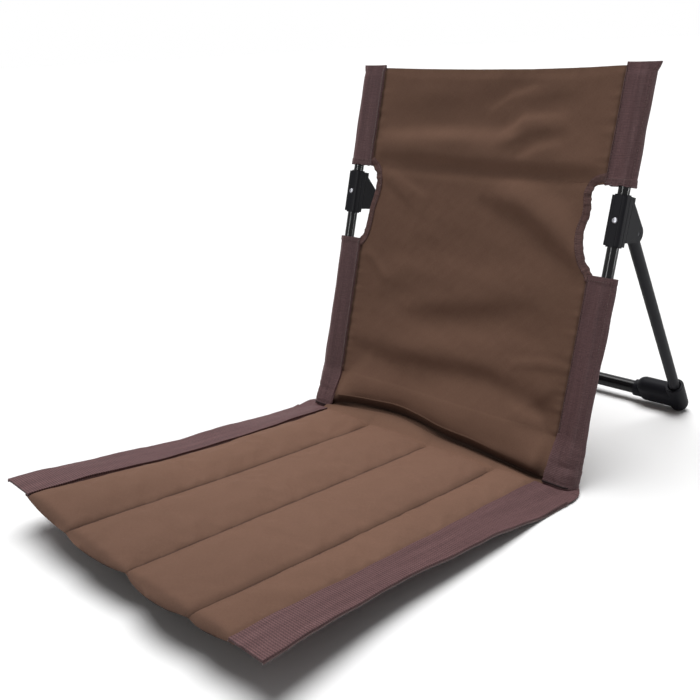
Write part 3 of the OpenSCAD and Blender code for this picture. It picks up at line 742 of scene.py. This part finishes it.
near_notch = [LOWER_TOP - 1.01, LOWER_TOP - 0.9, 309.4, 311.6, 312.6, UPPER_HEM + 0.9, UPPER_HEM + 1.01]
back_rows = np.unique(np.concatenate([np.arange(38, 430, 2.5), near_notch, [430.6, 431.4]]))
shares = np.linspace(-1, 1, 121)
U, SH = np.meshgrid(back_rows, shares, indexing="ij")
X = np.where(SH < 0, SH * back_edge(-1, U), SH * back_edge(1, U))
top_edge = 1.4 * (1 - (X / HALF_CLOTH) ** 2) - 3.0 + smooth(-160, 160, X)
U_top = np.where(U > 400, U - top_edge * smooth(400, 431, U), U)
front = back_point(X, back_v(X, U), U_top)
back_cloth = shell("back_cloth", front, CLOTH_T, np.stack([X, U], -1), CLOTH)
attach(back_cloth, "back")
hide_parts("back_panel")


# Sleeves of woven tape
SLEEVE_R, BORE_R = 8.1, 6.55
SLEEVE_IN, SLEEVE_EDGE = -22.0, 11.6


SECTION_POINTS = 72


def sleeve_section():
    """Outline of a sleeve round its tube: flat to the seam inside, rounded to its outer edge.
    It runs from the rear round the outer edge to the front and the inner tip. x is outward, y to the rear."""
    pts = []
    tube, edge = (SLEEVE_R, 0.0), (3.2, SLEEVE_EDGE - 3.0)
    for first, last, steps, (r, x) in ((115, 62, 9, tube), (58, -58, 11, edge), (-62, -115, 9, tube)):
        pts += [(x + r * math.cos(a), r * math.sin(a)) for a in np.radians(np.linspace(first, last, steps))]
    x0, y0 = SLEEVE_R * math.cos(math.radians(115)), SLEEVE_R * math.sin(math.radians(115))
    line = np.linspace(0.12, 1, 8)
    pts += [(x0 + t * (SLEEVE_IN - x0), -y0 + t * (y0 - 1.9)) for t in line]
    pts.append((SLEEVE_IN - 0.6, 0.0))
    pts += [(x0 + t * (SLEEVE_IN - x0), y0 + t * (1.9 - y0)) for t in line[::-1]]
    pts = np.array(pts)
    closed = np.vstack([pts, pts[:1]])
    d = np.concatenate([[0], np.cumsum(np.linalg.norm(np.diff(closed, axis=0), axis=1))])
    t = np.linspace(0, d[-1], SECTION_POINTS, endpoint=False)
    return np.stack([np.interp(t, d, closed[:, 0]), np.interp(t, d, closed[:, 1])], -1), t


SECTION, ARC = sleeve_section()
SECTION_ANGLE = np.arctan2(SECTION[:, 1], SECTION[:, 0])
RADIAL = np.stack([np.cos(SECTION_ANGLE), np.sin(SECTION_ANGLE)], -1)


def sleeve_ring(u, low, high, seed):
    """The sleeve's outline at height u, with its soft ridges, hems and pulls."""
    ripple = 0.4 * waves(ARC, np.full_like(ARC, u * 0.5), seed, 30)
    ripple += 0.25 * np.sin(ARC / 1.15 + 0.6 * math.sin(u / 37 + seed))
    hem = 0.55 * (1 - smooth(low + 6.5, low + 8.5, u)) + 0.45 * smooth(high - 7, high - 5.5, u)
    groove = -0.3 * (bell(u, low + 8.5, 1.2) + bell(u, high - 7.4, 1.2))
    cockle = 0.3 * hem * np.sin(ARC * 0.9 + u * 0.3)
    p = SECTION + RADIAL * (ripple * 0.7 + hem + groove + cockle)[:, None]
    outer = smooth(7, 11, SECTION[:, 0])
    p[:, 0] += (0.7 * math.sin(u / 29 + seed) + 0.35 * math.sin(u / 8.3 + seed)) * outer
    return p


def front_row(x):
    """The place in the section that lies at x on its front side."""
    return int(np.argmin(np.abs(SECTION[:, 0] - x) + 20 * (SECTION[:, 1] > 0)))


def sleeve(tag, part, side, low, high, seed):
    """A sleeve from height low to high; the upper one is closed at its top, the lower one is open."""
    name = f"sleeve_{part}_{tag}"
    upper = part == "upper"
    ends = [low + 0.7, low + 1.5, high - 1.5, high - 0.7, high]
    us = np.unique(np.concatenate([np.arange(low, high, 2.0), ends]))
    bore = BORE_R * RADIAL
    rings, inner = [], []
    for u in us:
        p = sleeve_ring(u, low, high, seed)
        scallop = 0.0
        if upper:
            p[:, 0] += 2.3 * smooth(high - 9, high, u) * smooth(4, 11, SECTION[:, 0])
            p[:, 1] *= 1 - 0.3 * smooth(high - 16, high, u)
            scallop = 0.9 * np.sin(ARC / 2.1 + seed) * bell(u, low, 2.5)
            scallop = scallop + 1.5 * smooth(high - 6, high, u) * np.abs((SECTION[:, 0] + 5.5) / 17) ** 3
        rings.append(back_point(side * (TUBE_X + p[:, 0]), p[:, 1], u + scallop))
        inner.append(back_point(side * (TUBE_X + bore[:, 0]), bore[:, 1], u + scallop))
    rings, inner = np.array(rings), np.array(inner)
    skin, uv = rings, uv_grid(ARC, us)
    if upper:
        mid = rings[-1].mean(0)
        lids = [
            mid + (rings[-1] - mid) * np.array([1, t, t]) * np.array([0.5 + t / 2, 1, 1]) + BACK_UP * (1 - t)
            for t in (0.8, 0.45, 0.12)
        ]
        skin = np.concatenate([rings, np.array(lids)])
        uv = np.concatenate([uv, [[[a, us[-1] + 1 + k] for a in ARC] for k in range(3)]])
    obj = loft(name, skin, uv, WEBBING, None if upper else inner)
    crisp(obj, 60)
    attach(obj, "back")
    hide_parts(f"{part}_sleeve_{tag}")
    rows = slice(2, len(us) - 2)
    edge = rings[rows, front_row(-21.0)] + BACK_OUT * 0.25
    # the cord is pale on the left; on the right its dark wine colour is painted shade of the seam beside it
    look = EDGE_PALE if side < 0 else THREAD
    cord(f"sleeve_cord_{part}_{tag}", edge, 0.5, BACK_OUT, ACROSS, us[rows], look, "back")
    for where, x in (("inner", -19.5), ("outer", 8.5)):
        sew(f"thread_{part}_{where}_{tag}", rings[rows, front_row(x)], BACK_OUT, THREAD_PALE, "back")
    front = (SECTION[:, 1] < -0.5) & (SECTION[:, 0] < 9.5)
    for where, u in (("foot", low + 2.6), ("foot_b", low + 6.2)) if upper else (("head", high - 5.0),):
        p = sleeve_ring(u, low, high, seed)[front]
        path = back_point(side * (TUBE_X + p[:, 0]), p[:, 1], u)
        sew(f"thread_{part}_{where}_{tag}", path, BACK_OUT, THREAD_PALE, "back", PITCH_SHORT)


POCKET_R, POCKET_BULGE = 10.75, 3.4


def pocket(tag, side, seed):
    """Foot of the lower sleeve: the webbing opens and wraps the corner elbow down to the floor."""
    order = [k for k in range(len(ARC)) if not (SECTION[k, 1] > 0 and SECTION[k, 0] < -9)]
    top = SECTION[order]
    goal = np.where(
        (top[:, :1] < 0) & (top[:, 1:] < 0),
        np.stack([top[:, 0], np.full(len(top), -POCKET_R)], -1),
        POCKET_R * RADIAL[order],
    )
    us = np.concatenate([np.arange(46, -9, -1.6), [-9.5, -10.5, -11.5, -12.2]])
    rows = []
    for u in us:
        p = top * 1.02 + (goal - top) * smooth(46, 6, u)
        p[:, 1] -= POCKET_BULGE * smooth(16, -8, u) * smooth(0, -8, p[:, 1])
        p = p * (1 - 0.11 * smooth(-7.5, -12.2, u))
        crease = 0.5 * bell(u, -4, 1.5) + 0.35 * bell(u, 14, 3)
        dents = 0.5 * waves(ARC[order], np.full(len(order), u), seed, 17) * smooth(46, 18, u)
        radial = p / np.maximum(np.linalg.norm(p, axis=1, keepdims=True), 1e-6)
        p = p + radial * (dents - crease + 0.2 - 1.2 * smooth(30, 46, u))[:, None]
        rows.append(back_point(side * (TUBE_X + p[:, 0]), p[:, 1], u))
    rows = above(np.array(rows), FLOOR_WEBBING)
    obj = shell(f"sleeve_foot_{tag}", rows, WEBBING_T, uv_grid(ARC[order], us), WEBBING, flip=side > 0)
    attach(obj, "back")
    fronts = [i for i, k in enumerate(order) if SECTION[k, 1] < -0.5]
    seam = rows[int(np.argmin(np.abs(us + 3.2))), fronts]
    sew(f"thread_sleeve_foot_{tag}", seam, BACK_OUT, THREAD_PALE, "back", PITCH_SHORT)
    # a cord along the hem's fold, its near-black colour painted shade
    hem = rows[int(np.argmin(np.abs(us + 7.2))), fronts] + BACK_OUT * 0.3
    cord(f"sleeve_foot_hem_{tag}", hem, 1.3, BACK_OUT, BACK_UP, np.arange(len(hem)), HEM_PAINTED_SHADE, "back", 1.0)


SIDES = ((-1, "left"), (1, "right"))
for side, tag in SIDES:
    sleeve(tag, "upper", side, UPPER_HEM, BACK_TOP + 2.9 - 0.6 * side, 3 + side)
    sleeve(tag, "lower", side, 14.0, LOWER_TOP, 7 + side)
    pocket(tag, side, 15 + side)

# Bindings round the notches
BIND_W, BIND_T = 9.6, 1.15
for side, tag in SIDES:
    us = np.arange(LOWER_TOP - 3, UPPER_HEM + 3.1, 0.8)
    phase = 0.8 * side
    middle = smooth(LOWER_TOP, LOWER_TOP + 26, us) * (1 - smooth(UPPER_HEM - 40, UPPER_HEM - 10, us))
    ends = 0.3 + 0.7 * (1 - middle)
    gather = np.sin(us / 9.5 * 2 * math.pi + phase + 1.1 * np.sin(us / 17))
    gather = (gather + 0.5 * np.sin(us / 5.1 * 2 * math.pi)) * ends
    edge = notch_x(side, us) + 0.55 * gather + 0.5
    slope = np.gradient(notch_x(side, us), us)
    lean_x, lean_u = 1 / np.hypot(1, slope), -slope / np.hypot(1, slope)
    arc = np.linspace(0, 2 * math.pi, 24, endpoint=False)
    flat_c = np.sign(np.cos(arc)) * np.abs(np.cos(arc)) ** 0.55
    flat_s = np.sign(np.sin(arc)) * np.abs(np.sin(arc)) ** 0.8
    rings = []
    for i, u in enumerate(us):
        half = BIND_W / 2 * (1 + 0.05 * gather[i])
        thick = BIND_T * (1 + ends[i] * (0.35 * math.sin(u / 1.5 + phase) + 0.2 * math.sin(u / 0.8)))
        off = half * flat_c - half
        px = edge[i] + off * lean_x[i]
        pu = u + off * lean_u[i]
        cloth = back_v(side * np.minimum(px, edge[i] - 3), pu)
        lift = 0.5 * np.sin(pu / 1.7 + phase) * ends[i] * (0.5 + 0.5 * flat_c)
        py = cloth - 0.4 + lift + thick * flat_s * (1 - 0.25 * np.abs(flat_c)) + 0.5 + 0.5 * flat_c
        rings.append(back_point(side * px, py, pu))
    rings = np.array(rings)
    binding = loft(f"notch_edge_{tag}", rings, uv_grid(arc * 2.8, us), BINDING)
    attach(binding, "back")
    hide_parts(f"notch_binding_{tag}")
    front_k = int(np.argmin(np.abs(flat_c + 0.72) + 9 * (np.sin(arc) > 0)))
    sew(f"thread_notch_{tag}", rings[5:-5, front_k], BACK_OUT, THREAD_PALE, "back")

# Seat pad
def channel(x):
    """Which channel x is in and where across it, from -1 to 1."""
    i = np.clip(np.searchsorted(EDGES, x, side="right") - 1, 0, 3)
    e = np.array(EDGES)
    return i, np.clip(2 * (x - e[i]) / (e[i + 1] - e[i]) - 1, -1, 1)


def seat_warp(x, s):
    """Height by which the loose cloth leaves the seat's plane, higher at the front left."""
    x, s = np.asarray(x, float), np.asarray(s, float)
    front = smooth(180, 440, s)
    lift = front * (15.0 * smooth(20, 200, -x) + 4.0 * smooth(40, 200, x))
    rear = 1 - smooth(20, 150, s)
    return lift - rear * (3.0 * smooth(150, 202, np.abs(x)))


FRONT_EDGE = (
    (-205, 425), (-161, 428), (-125, 430), (-82, 430.5), (-60, 432), (-30, 430.5), (0, 428), (14, 426),
    (30, 429.5), (56, 432.5), (85, 431.5), (110, 428.5), (125, 429.5), (150, 427.5), (205, 426),
)


def seat_end(x):
    """Distance of the front edge from the crease at x."""
    x = np.asarray(x, float)
    _, t = channel(x)
    return catmull_1d(FRONT_EDGE, x) + 1.6 * (1 - np.abs(t) ** 3)


def pad_height(x, s, up):
    i, t = channel(x)
    crown = np.maximum(0, 1 - t * t) ** 0.45
    ahead = np.clip((seat_end(x) - s) / 9.0, 0, 1)
    nose = np.sqrt(np.maximum(0, 1 - (1 - ahead) ** 2))
    rear = 0.3 + 0.7 * smooth(4, 26, s)
    plump = 1 + 0.08 * np.sin(2 * math.pi * (s / 96 + i / 3))
    return (6.2 * plump if up > 0 else 2.6) * crown * nose * rear + 0.6


def pad_top(x, s):
    uneven = 0.3 * waves(x, s, 21, 60) * smooth(0, 30, s)
    return seat_point(x, s, pad_height(x, s, 1) + seat_warp(x, s) + uneven)


PAD_CLOTH = {
    "quality": 6,
    "mass": 0.25,
    "tension_stiffness": 25,
    "compression_stiffness": 25,
    "shear_stiffness": 8,
    "bending_stiffness": 0.4,
    "use_pressure": True,
    "shrink_min": -0.008,
    "vertex_group_mass": "seams",
}
PUFF_FRAMES = 18


def puff(verts, faces, held, pressure, cap_up, cap_down):
    """Inflates a sewn shell with Blender's cloth, its seams held, and returns where its points end up."""
    trial = make_object("pad_trial", verts, faces)
    group = trial.vertex_groups.new(name="seams")
    group.add(np.nonzero(held)[0].tolist(), 1.0, "REPLACE")
    cloth = trial.modifiers.new("cloth", "CLOTH")
    for setting, value in PAD_CLOTH.items():
        setattr(cloth.settings, setting, value)
    cloth.settings.uniform_pressure_force = pressure
    cloth.settings.effector_weights.gravity = 0
    cloth.collision_settings.use_collision = False
    cloth.collision_settings.use_self_collision = False
    cloth.point_cache.frame_end = PUFF_FRAMES
    for f in range(1, PUFF_FRAMES + 1):
        bpy.context.scene.frame_set(f)
    got = trial.evaluated_get(bpy.context.evaluated_depsgraph_get()).to_mesh()
    out = np.empty(len(got.vertices) * 3, np.float32)
    got.vertices.foreach_get("co", out)
    bpy.context.scene.frame_set(1)
    mesh = trial.data
    bpy.data.objects.remove(trial)
    bpy.data.meshes.remove(mesh)
    moved = out.reshape(-1, 3).astype(float) / MM - verts
    far = np.linalg.norm(moved, axis=1)
    cap = np.where(moved[:, 2] > 0, cap_up, cap_down)
    return verts + moved * np.minimum(1, cap / np.maximum(far, 1e-9))[:, None]


cols = []
for a, b in zip(EDGES[:-1], EDGES[1:]):
    n = max(8, int(round((b - a) / 3.6)))
    t = np.linspace(-1, 1, n + 1)[:-1]
    t = np.sign(t) * np.abs(t) ** 0.85
    cols.append((a + b) / 2 + t * (b - a) / 2)
cols = np.concatenate([[-PAD_X]] + cols + [[EDGES[-1], PAD_X]])
seam_cols = [int(np.argmin(np.abs(cols - e))) for e in EDGES]
q = 1 - (1 - np.linspace(0, 1, 117)) ** 1.06
Q, XC = np.meshgrid(q, cols, indexing="ij")
S = PAD_START + Q * (seat_end(XC) - PAD_START)
top = pad_top(XC, S)
low = above(seat_point(XC, S, -pad_height(XC, S, -1) + seat_warp(XC, S)), FLOOR_PAD)
rows, columns = top.shape[:2]
count = rows * columns
flat_pad = np.concatenate([top.reshape(-1, 3), low.reshape(-1, 3)])
walls = grid_quads(rows, columns, 0, True) + grid_quads(rows, columns, count, False)
rim = rim_ids(rows, columns)
walls += [[a, b, b + count, a + count] for a, b in zip(rim, rim[1:] + rim[:1])]
held = np.zeros((2, rows, columns), bool)
held[:, :, seam_cols] = True
held[:, :, [0, -1]] = True
held[:, :2] = True
held[1, -1] = True
puffed = puff(flat_pad, walls, held.ravel(), 3.2, 3.0, 0.8)
top = puffed[:count].reshape(rows, columns, 3)
low = above(puffed[count:].reshape(rows, columns, 3), FLOOR_PAD)
seat_pad = shell("seat_pad", top, 1, np.stack([XC, S], -1), CLOTH_SEAT, under=low)
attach(seat_pad, "seat")
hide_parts("seat_top_cover", "seat_front_hem", *[f"seat_foam_{k}" for k in (1, 2, 3, 4)])

inset = slice(1, columns - 1)
down = grid_normals(low)
down = down * np.where(down[..., 2:] > 0, -1, 1)
base_top = (low + down * -0.25)[:-1, inset]
base_under = (low + down * 0.55)[:-1, inset]
base = shell("seat_base", base_top, 1, np.stack([XC, S], -1)[:-1, inset], LINING, under=base_under)
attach(base, "seat")
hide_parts("seat_bottom_cover")

for k, c in enumerate(seam_cols[1:-1]):
    sew(f"thread_channel_{k + 1}", top[2:-1, c] - SEAT_UP * 0.1, SEAT_UP, THREAD, "seat")

# Edge tapes of the seat
TAPE_OUT = {
    -1: (
        (0, 206), (12, 208), (30, 205), (60, 203), (120, 201.6),
        (200, 200.8), (300, 201.6), (380, 202.4), (430, 203),
    ),
    1: (
        (0, 208), (12, 210.5), (30, 208), (60, 205), (120, 202.5), (200, 198.5),
        (270, 194.6), (300, 194.6), (350, 196.8), (400, 199.5), (430, 201.0),
    ),
}


def tape_point(side, a, s):
    """a is 0 at the inner edge of the tape and 1 at its outer edge."""
    a, s = np.broadcast_arrays(np.asarray(a, float), np.asarray(s, float))
    outer = catmull_1d(TAPE_OUT[side], s)
    inner = PAD_X - 5.5 + (1.1 if side < 0 else 0.5) * np.sin(s / 23 + side) + 0.5 * np.sin(s / 9.1)
    x = side * (inner + a * (outer - inner))
    droop = -6.5 * smooth(0.1, 1, a) * (1 - smooth(20, 190, s)) * (1 if side > 0 else 0.5)
    wave = 0.6 * np.sin(s / 19 + side) * a + 0.5 * waves(x, s, 33, 50)
    w = 1.7 + seat_warp(x, s) + droop + wave * smooth(0, 1, a) + 0.3 * (1 - a)
    return above(seat_point(x, s, w), FLOOR_TAPE)


for side, tag in SIDES:
    s = np.arange(TAPE_START, SEAT_L - 6.9, 3.0)
    s = s[0] + (s - s[0]) * (TAPE_END - s[0]) / (s[-1] - s[0])
    Sg, Ag = np.meshgrid(s, np.linspace(0, 1, 15), indexing="ij")
    pts = above(tape_point(side, Ag, Sg), FLOOR_TAPE_TOP)
    tape = shell(f"seat_edge_{tag}", pts, TAPE_T, np.stack([Ag * TAPE_WIDE, Sg], -1), TAPE, flip=side < 0)
    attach(tape, "seat")
    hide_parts(f"seat_tape_{tag}")
    for where, at in (("inner", 0.055), ("outer", 0.93)):
        sew(f"thread_tape_{where}_{tag}", tape_point(side, at, s), SEAT_UP, THREAD_PALE, "seat")
    pipings = (("inner", -0.012, 0.75, 0.9, THREAD), ("outer", 1.0, 0.85, 0.5, PIPING))
    for where, at, radius, sink, look in pipings:
        line = tape_point(side, at, s) - SEAT_UP * sink
        cord(f"seat_piping_{where}_{tag}", line, radius, ACROSS, SEAT_UP, s, look, "seat")

# Cloth that crosses the crease
def catmull(points, n):
    """Smooth curve through the points, with n steps from each to the next."""
    out = []
    pts = np.vstack([2 * points[0] - points[1], points, 2 * points[-1] - points[-2]])
    for i in range(1, len(pts) - 2):
        p0, p1, p2, p3 = pts[i - 1 : i + 3]
        for t in np.linspace(0, 1, n, endpoint=False):
            bend = (2 * p0 - 5 * p1 + 4 * p2 - p3) * t * t + (3 * p1 - p0 - 3 * p2 + p3) * t**3
            out.append(0.5 * (2 * p1 + (p2 - p0) * t + bend))
    out.append(pts[-2])
    return np.array(out)


def pad_surface(x, s):
    """Top of the finished pad at x, s, read off its grid."""
    c = int(np.argmin(np.abs(cols - x)))
    return np.array([np.interp(s, S[:, c], top[:, c, k]) for k in range(3)])


# The point of the crease's profile at its bottom, and how far the cloth stays from the crossbar's middle
CREASE_ROW = 10
BAR_CLEAR = 8.0
SMOOTHING = 4


def crease_profile(x):
    """Points from the back cloth down over its lowest bulge, into the crease, and out on the seat."""
    vy, vz = float(catmull_1d(VALLEY_Y, x)), float(catmull_1d(VALLEY_Z, x))
    wobble = 0.7 * math.sin(x / 23) + 0.5 * math.sin(x / 9.7 + 1)
    right = float(smooth(-60, 40, x))
    foot_u = (vz + VALLEY_RISE - BASE_Z) / COS_B + vy * SIN_B
    rows_u = ((52.0, 1.3), (46.0, 0.1), (40.0, -0.25), ((40 + foot_u) / 2, -0.25), (foot_u, -0.2))
    pts = [back_point(x, float(back_v(x, u)) + sink, u) for u, sink in rows_u]
    base = np.array([x, ORIGIN_Y + vy, vz])
    tall = 1 + 0.35 * (1 - float(smooth(60, 130, x)))
    for dy, dz in (
        (-1.2 - 1.4 * right, 13.5 + 3.0 * (tall - 1)),
        (-1.9 - 1.3 * right, 9.8 * tall),
        (-0.9 - 1.1 * right, 6.4 * tall),
        (1.2 - 0.9 * right, 3.4 * tall),
        (3.2 - 0.6 * right, tall),
    ):
        pts.append(base + np.array([0, dy + 0.4 * wobble, dz]))
    pts.append(base + np.array([0, 3.4 - 0.6 * right, -0.9]))
    pts.append(base + np.array([0, 0.4, -1.9]))
    near_edge = float(smooth(150, 164, abs(x)))
    for i, point in enumerate(pts[: CREASE_ROW + 2]):
        dy, dz = point[1] - ORIGIN_Y, point[2] - BASE_Z
        u = dy * SIN_B + dz * COS_B
        v = dy * COS_B - dz * SIN_B
        pts[i] = back_point(x, v + near_edge * max(0.0, 1.2 - pocket_front(u) - v), u)
        off = pts[i][1:] - np.array([ORIGIN_Y, BASE_Z])
        far = float(np.hypot(*off))
        if far < BAR_CLEAR:
            pts[i][1:] = np.array([ORIGIN_Y, BASE_Z]) + off * BAR_CLEAR / far
    pts.append(base + np.array([0, -4.2 + 0.3 * wobble, -0.9]))
    last = base + np.array([0, -7.8, 0.8])
    pts.append(last)
    first = 16.0
    reach = pad_surface(x, first)
    for q in (0.35, 0.7):
        mid = last + (reach - last) * q
        mid[2] += 1.2 * (1 - q)
        pts.append(mid)
    for s, sink in ((first, 0.35), (21.0, 0.15), (26.0, -0.5), (30.0, -1.2)):
        pts.append(pad_surface(x, s) + np.array([0, 0, sink]))
    pts = np.array(pts)
    if abs(x) > SEAM_X:
        pts[CREASE_ROW + 1 :, 0] = math.copysign(SEAM_X + 0.2 * (abs(x) - SEAM_X), x)
    return pts


xs = np.concatenate([[-SEAM_X - 8, -SEAM_X - 4], cols, [SEAM_X + 4, SEAM_X + 8]])
strip = np.array([catmull(crease_profile(x), SMOOTHING) for x in xs]).transpose(1, 0, 2)
strip = above(strip, FLOOR_WEBBING)
step = np.linalg.norm(np.diff(strip, axis=0), axis=2)
length = np.concatenate([np.zeros((1, len(xs))), np.cumsum(step, axis=0)])
L = length[CREASE_ROW * SMOOTHING] - length
uv = np.stack([np.broadcast_to(xs, L.shape), L], -1)
crease = shell("crease_cloth", strip, WEBBING_T, uv, CLOTH_CREASE, flip=True)
tuple(back_point(0, -2, 16) * MM)
tuple(seat_point(0, 16, 4) * MM)
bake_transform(crease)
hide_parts("panel_lower_hem")

SEAT_NAMES = ("seat_pad", "seat_base", "seat_edge", "seat_piping", "thread_channel", "thread_tape")
seat_pieces = [o for o in bpy.context.scene.objects if o.name.startswith(SEAT_NAMES)]

# webbing patch at each corner, from the seat's edge tape to under the foot of the sleeve
for side, tag in SIDES:
    rows_c = []
    a = np.linspace(0, 1, 17)
    for s, lift in ((40.0, -0.7), (32.0, 0.5), (22.0, 0.6), (12.0, 0.6)):
        rows_c.append(tape_point(side, a, s) + np.array([0, 0, lift]))
    x_in = PAD_X + 1.0
    rounds = ((-18.5, 209.5, 0.5), (-14.5, 208.0, 2.0), (-11.0, 205.5, 4.0), (-8.0, 202.0, 5.5))
    for y, x_out, swing in rounds:
        xx = side * (x_in + a * (x_out - x_in))
        yy = ORIGIN_Y + y + swing * a**3 + 0.5 * np.sin(a * 14 + side)
        zz = 2.3 + 0.5 * np.sin(a * 11 + y) * smooth(0, 0.3, a)
        rows_c.append(np.stack([xx, yy, zz], -1))
    rows_c = np.array([catmull(np.array(rows_c)[:, k], SMOOTHING) for k in range(len(a))]).transpose(1, 0, 2)
    rows_c = above(rows_c, FLOOR_WEBBING)
    span = np.concatenate([[0], np.cumsum(np.linalg.norm(np.diff(rows_c[:, 6], axis=0), axis=1))])
    uv = uv_grid(a * TAPE_WIDE, 40 - span)
    corner = shell(f"seat_corner_{tag}", rows_c, WEBBING_T, uv, TAPE, flip=side > 0)
    tuple(back_point(0, -11.5, -1) * MM)
    tuple(seat_point(0, 16, 1) * MM)
    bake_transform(corner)

# a point 3 mm under the seat's plane at the crease, and a mesh of its own for each seat piece
SEAT_FLOOR = tuple(seat_point(0, 0, -3.0) * MM)
for obj in seat_pieces:
    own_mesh(obj)

# Studio
def aim(obj, direction):
    obj.rotation_mode = "QUATERNION"
    obj.rotation_quaternion = Vector(direction).to_track_quat("-Z", "Y")


AMBIENT = 0.16
SUN_POWER, SUN_WIDTH = math.pi, math.radians(44)
# The floor's own colour, and the brighter one that the camera sees
FLOOR_LIT, FLOOR_SEEN = (0.62, 0.62, 0.62, 1), (0.97, 0.97, 0.97, 1)
FLOOR_HALF = 30

scene = bpy.context.scene
scene.view_settings.view_transform = "Standard"
scene.world = bpy.data.worlds.new("studio")
sky = Nodes("studio", scene.world)
rays = sky.add("ShaderNodeLightPath").outputs
shown = sky.math("MAXIMUM", rays["Is Camera Ray"], rays["Is Glossy Ray"])
shown = sky.math("MAXIMUM", shown, rays["Is Transmission Ray"])
lit = sky.tree.nodes["Background"]
lit.inputs["Color"].default_value = (1, 1, 1, 1)
lit.inputs["Strength"].default_value = AMBIENT
seen = sky.add("ShaderNodeBackground", {"Color": (1, 1, 1, 1), "Strength": 1.0})
pick = sky.add("ShaderNodeMixShader", {0: shown, 1: lit.outputs[0], 2: seen.outputs[0]})
sky.plug(pick.outputs[0], sky.tree.nodes["World Output"].inputs[0])

sun = bpy.data.lights.new("key_above", "SUN")
sun.energy = SUN_POWER
sun.angle = SUN_WIDTH
aim(place("key_above", sun), (0.14, -0.06, -1))
for strip_name, where in (("strip_front", (-0.02, -1.75, 0.75)), ("strip_side", (1.75, 0.8, 0.75))):
    data = bpy.data.lights.new(strip_name, "AREA")
    data.shape = "RECTANGLE"
    data.size, data.size_y = 0.12, 1.9
    data.energy = 45
    lamp = place(strip_name, data)
    lamp.location = where
    aim(lamp, Vector((0, 0.1, 0.3)) - Vector(where))
    lamp.visible_diffuse = False

floor_mesh = bpy.data.meshes.new("floor")
corners = [(x * FLOOR_HALF, y * FLOOR_HALF, 0) for x, y in ((-1, -1), (1, -1), (1, 1), (-1, 1))]
floor_mesh.from_pydata(corners, [], [(0, 1, 2, 3)])
floor = place("floor", floor_mesh)
fn = Nodes("floor_pale")
seen_by = fn.add("ShaderNodeLightPath")
looked_at = fn.math("MAXIMUM", seen_by.outputs["Is Camera Ray"], seen_by.outputs["Is Glossy Ray"])
fn.surface("Base Color", fn.mix(looked_at, FLOOR_LIT, FLOOR_SEEN))
fn.surface("Roughness", 0.9)
fn.surface("Specular IOR Level", 0.1)
floor_mesh.materials.append(fn.mat)

# Camera
YAW, TILT, ROLL = math.radians(45.09), math.radians(20.9), math.radians(-2.78)
# Focal length, shifts and width of the picture in pixels, and the camera's place in mm
FOCAL, SHIFT_X, SHIFT_Y, WIDE = 869.62, 4.79, 20.84, 700
CAM_AT = (618.77 * MM, (ORIGIN_Y - 747.8) * MM, 464.43 * MM)
SENSOR = 36
fwd = Vector((-math.sin(YAW) * math.cos(TILT), math.cos(YAW) * math.cos(TILT), -math.sin(TILT)))
right = Vector((math.cos(YAW), math.sin(YAW), 0))
up = right.cross(fwd)
across = right * math.cos(ROLL) + up * math.sin(ROLL)
upward = -right * math.sin(ROLL) + up * math.cos(ROLL)
cam_data = bpy.data.cameras.new("camera")
cam = place("camera", cam_data)
cam.matrix_world = Matrix([(across[k], upward[k], -fwd[k], CAM_AT[k]) for k in range(3)] + [(0, 0, 0, 1)])
cam_data.sensor_width = SENSOR
cam_data.lens = FOCAL * SENSOR / WIDE
cam_data.shift_x = -SHIFT_X / WIDE
cam_data.shift_y = SHIFT_Y / WIDE
cam_data.clip_end = 100
scene.camera = cam
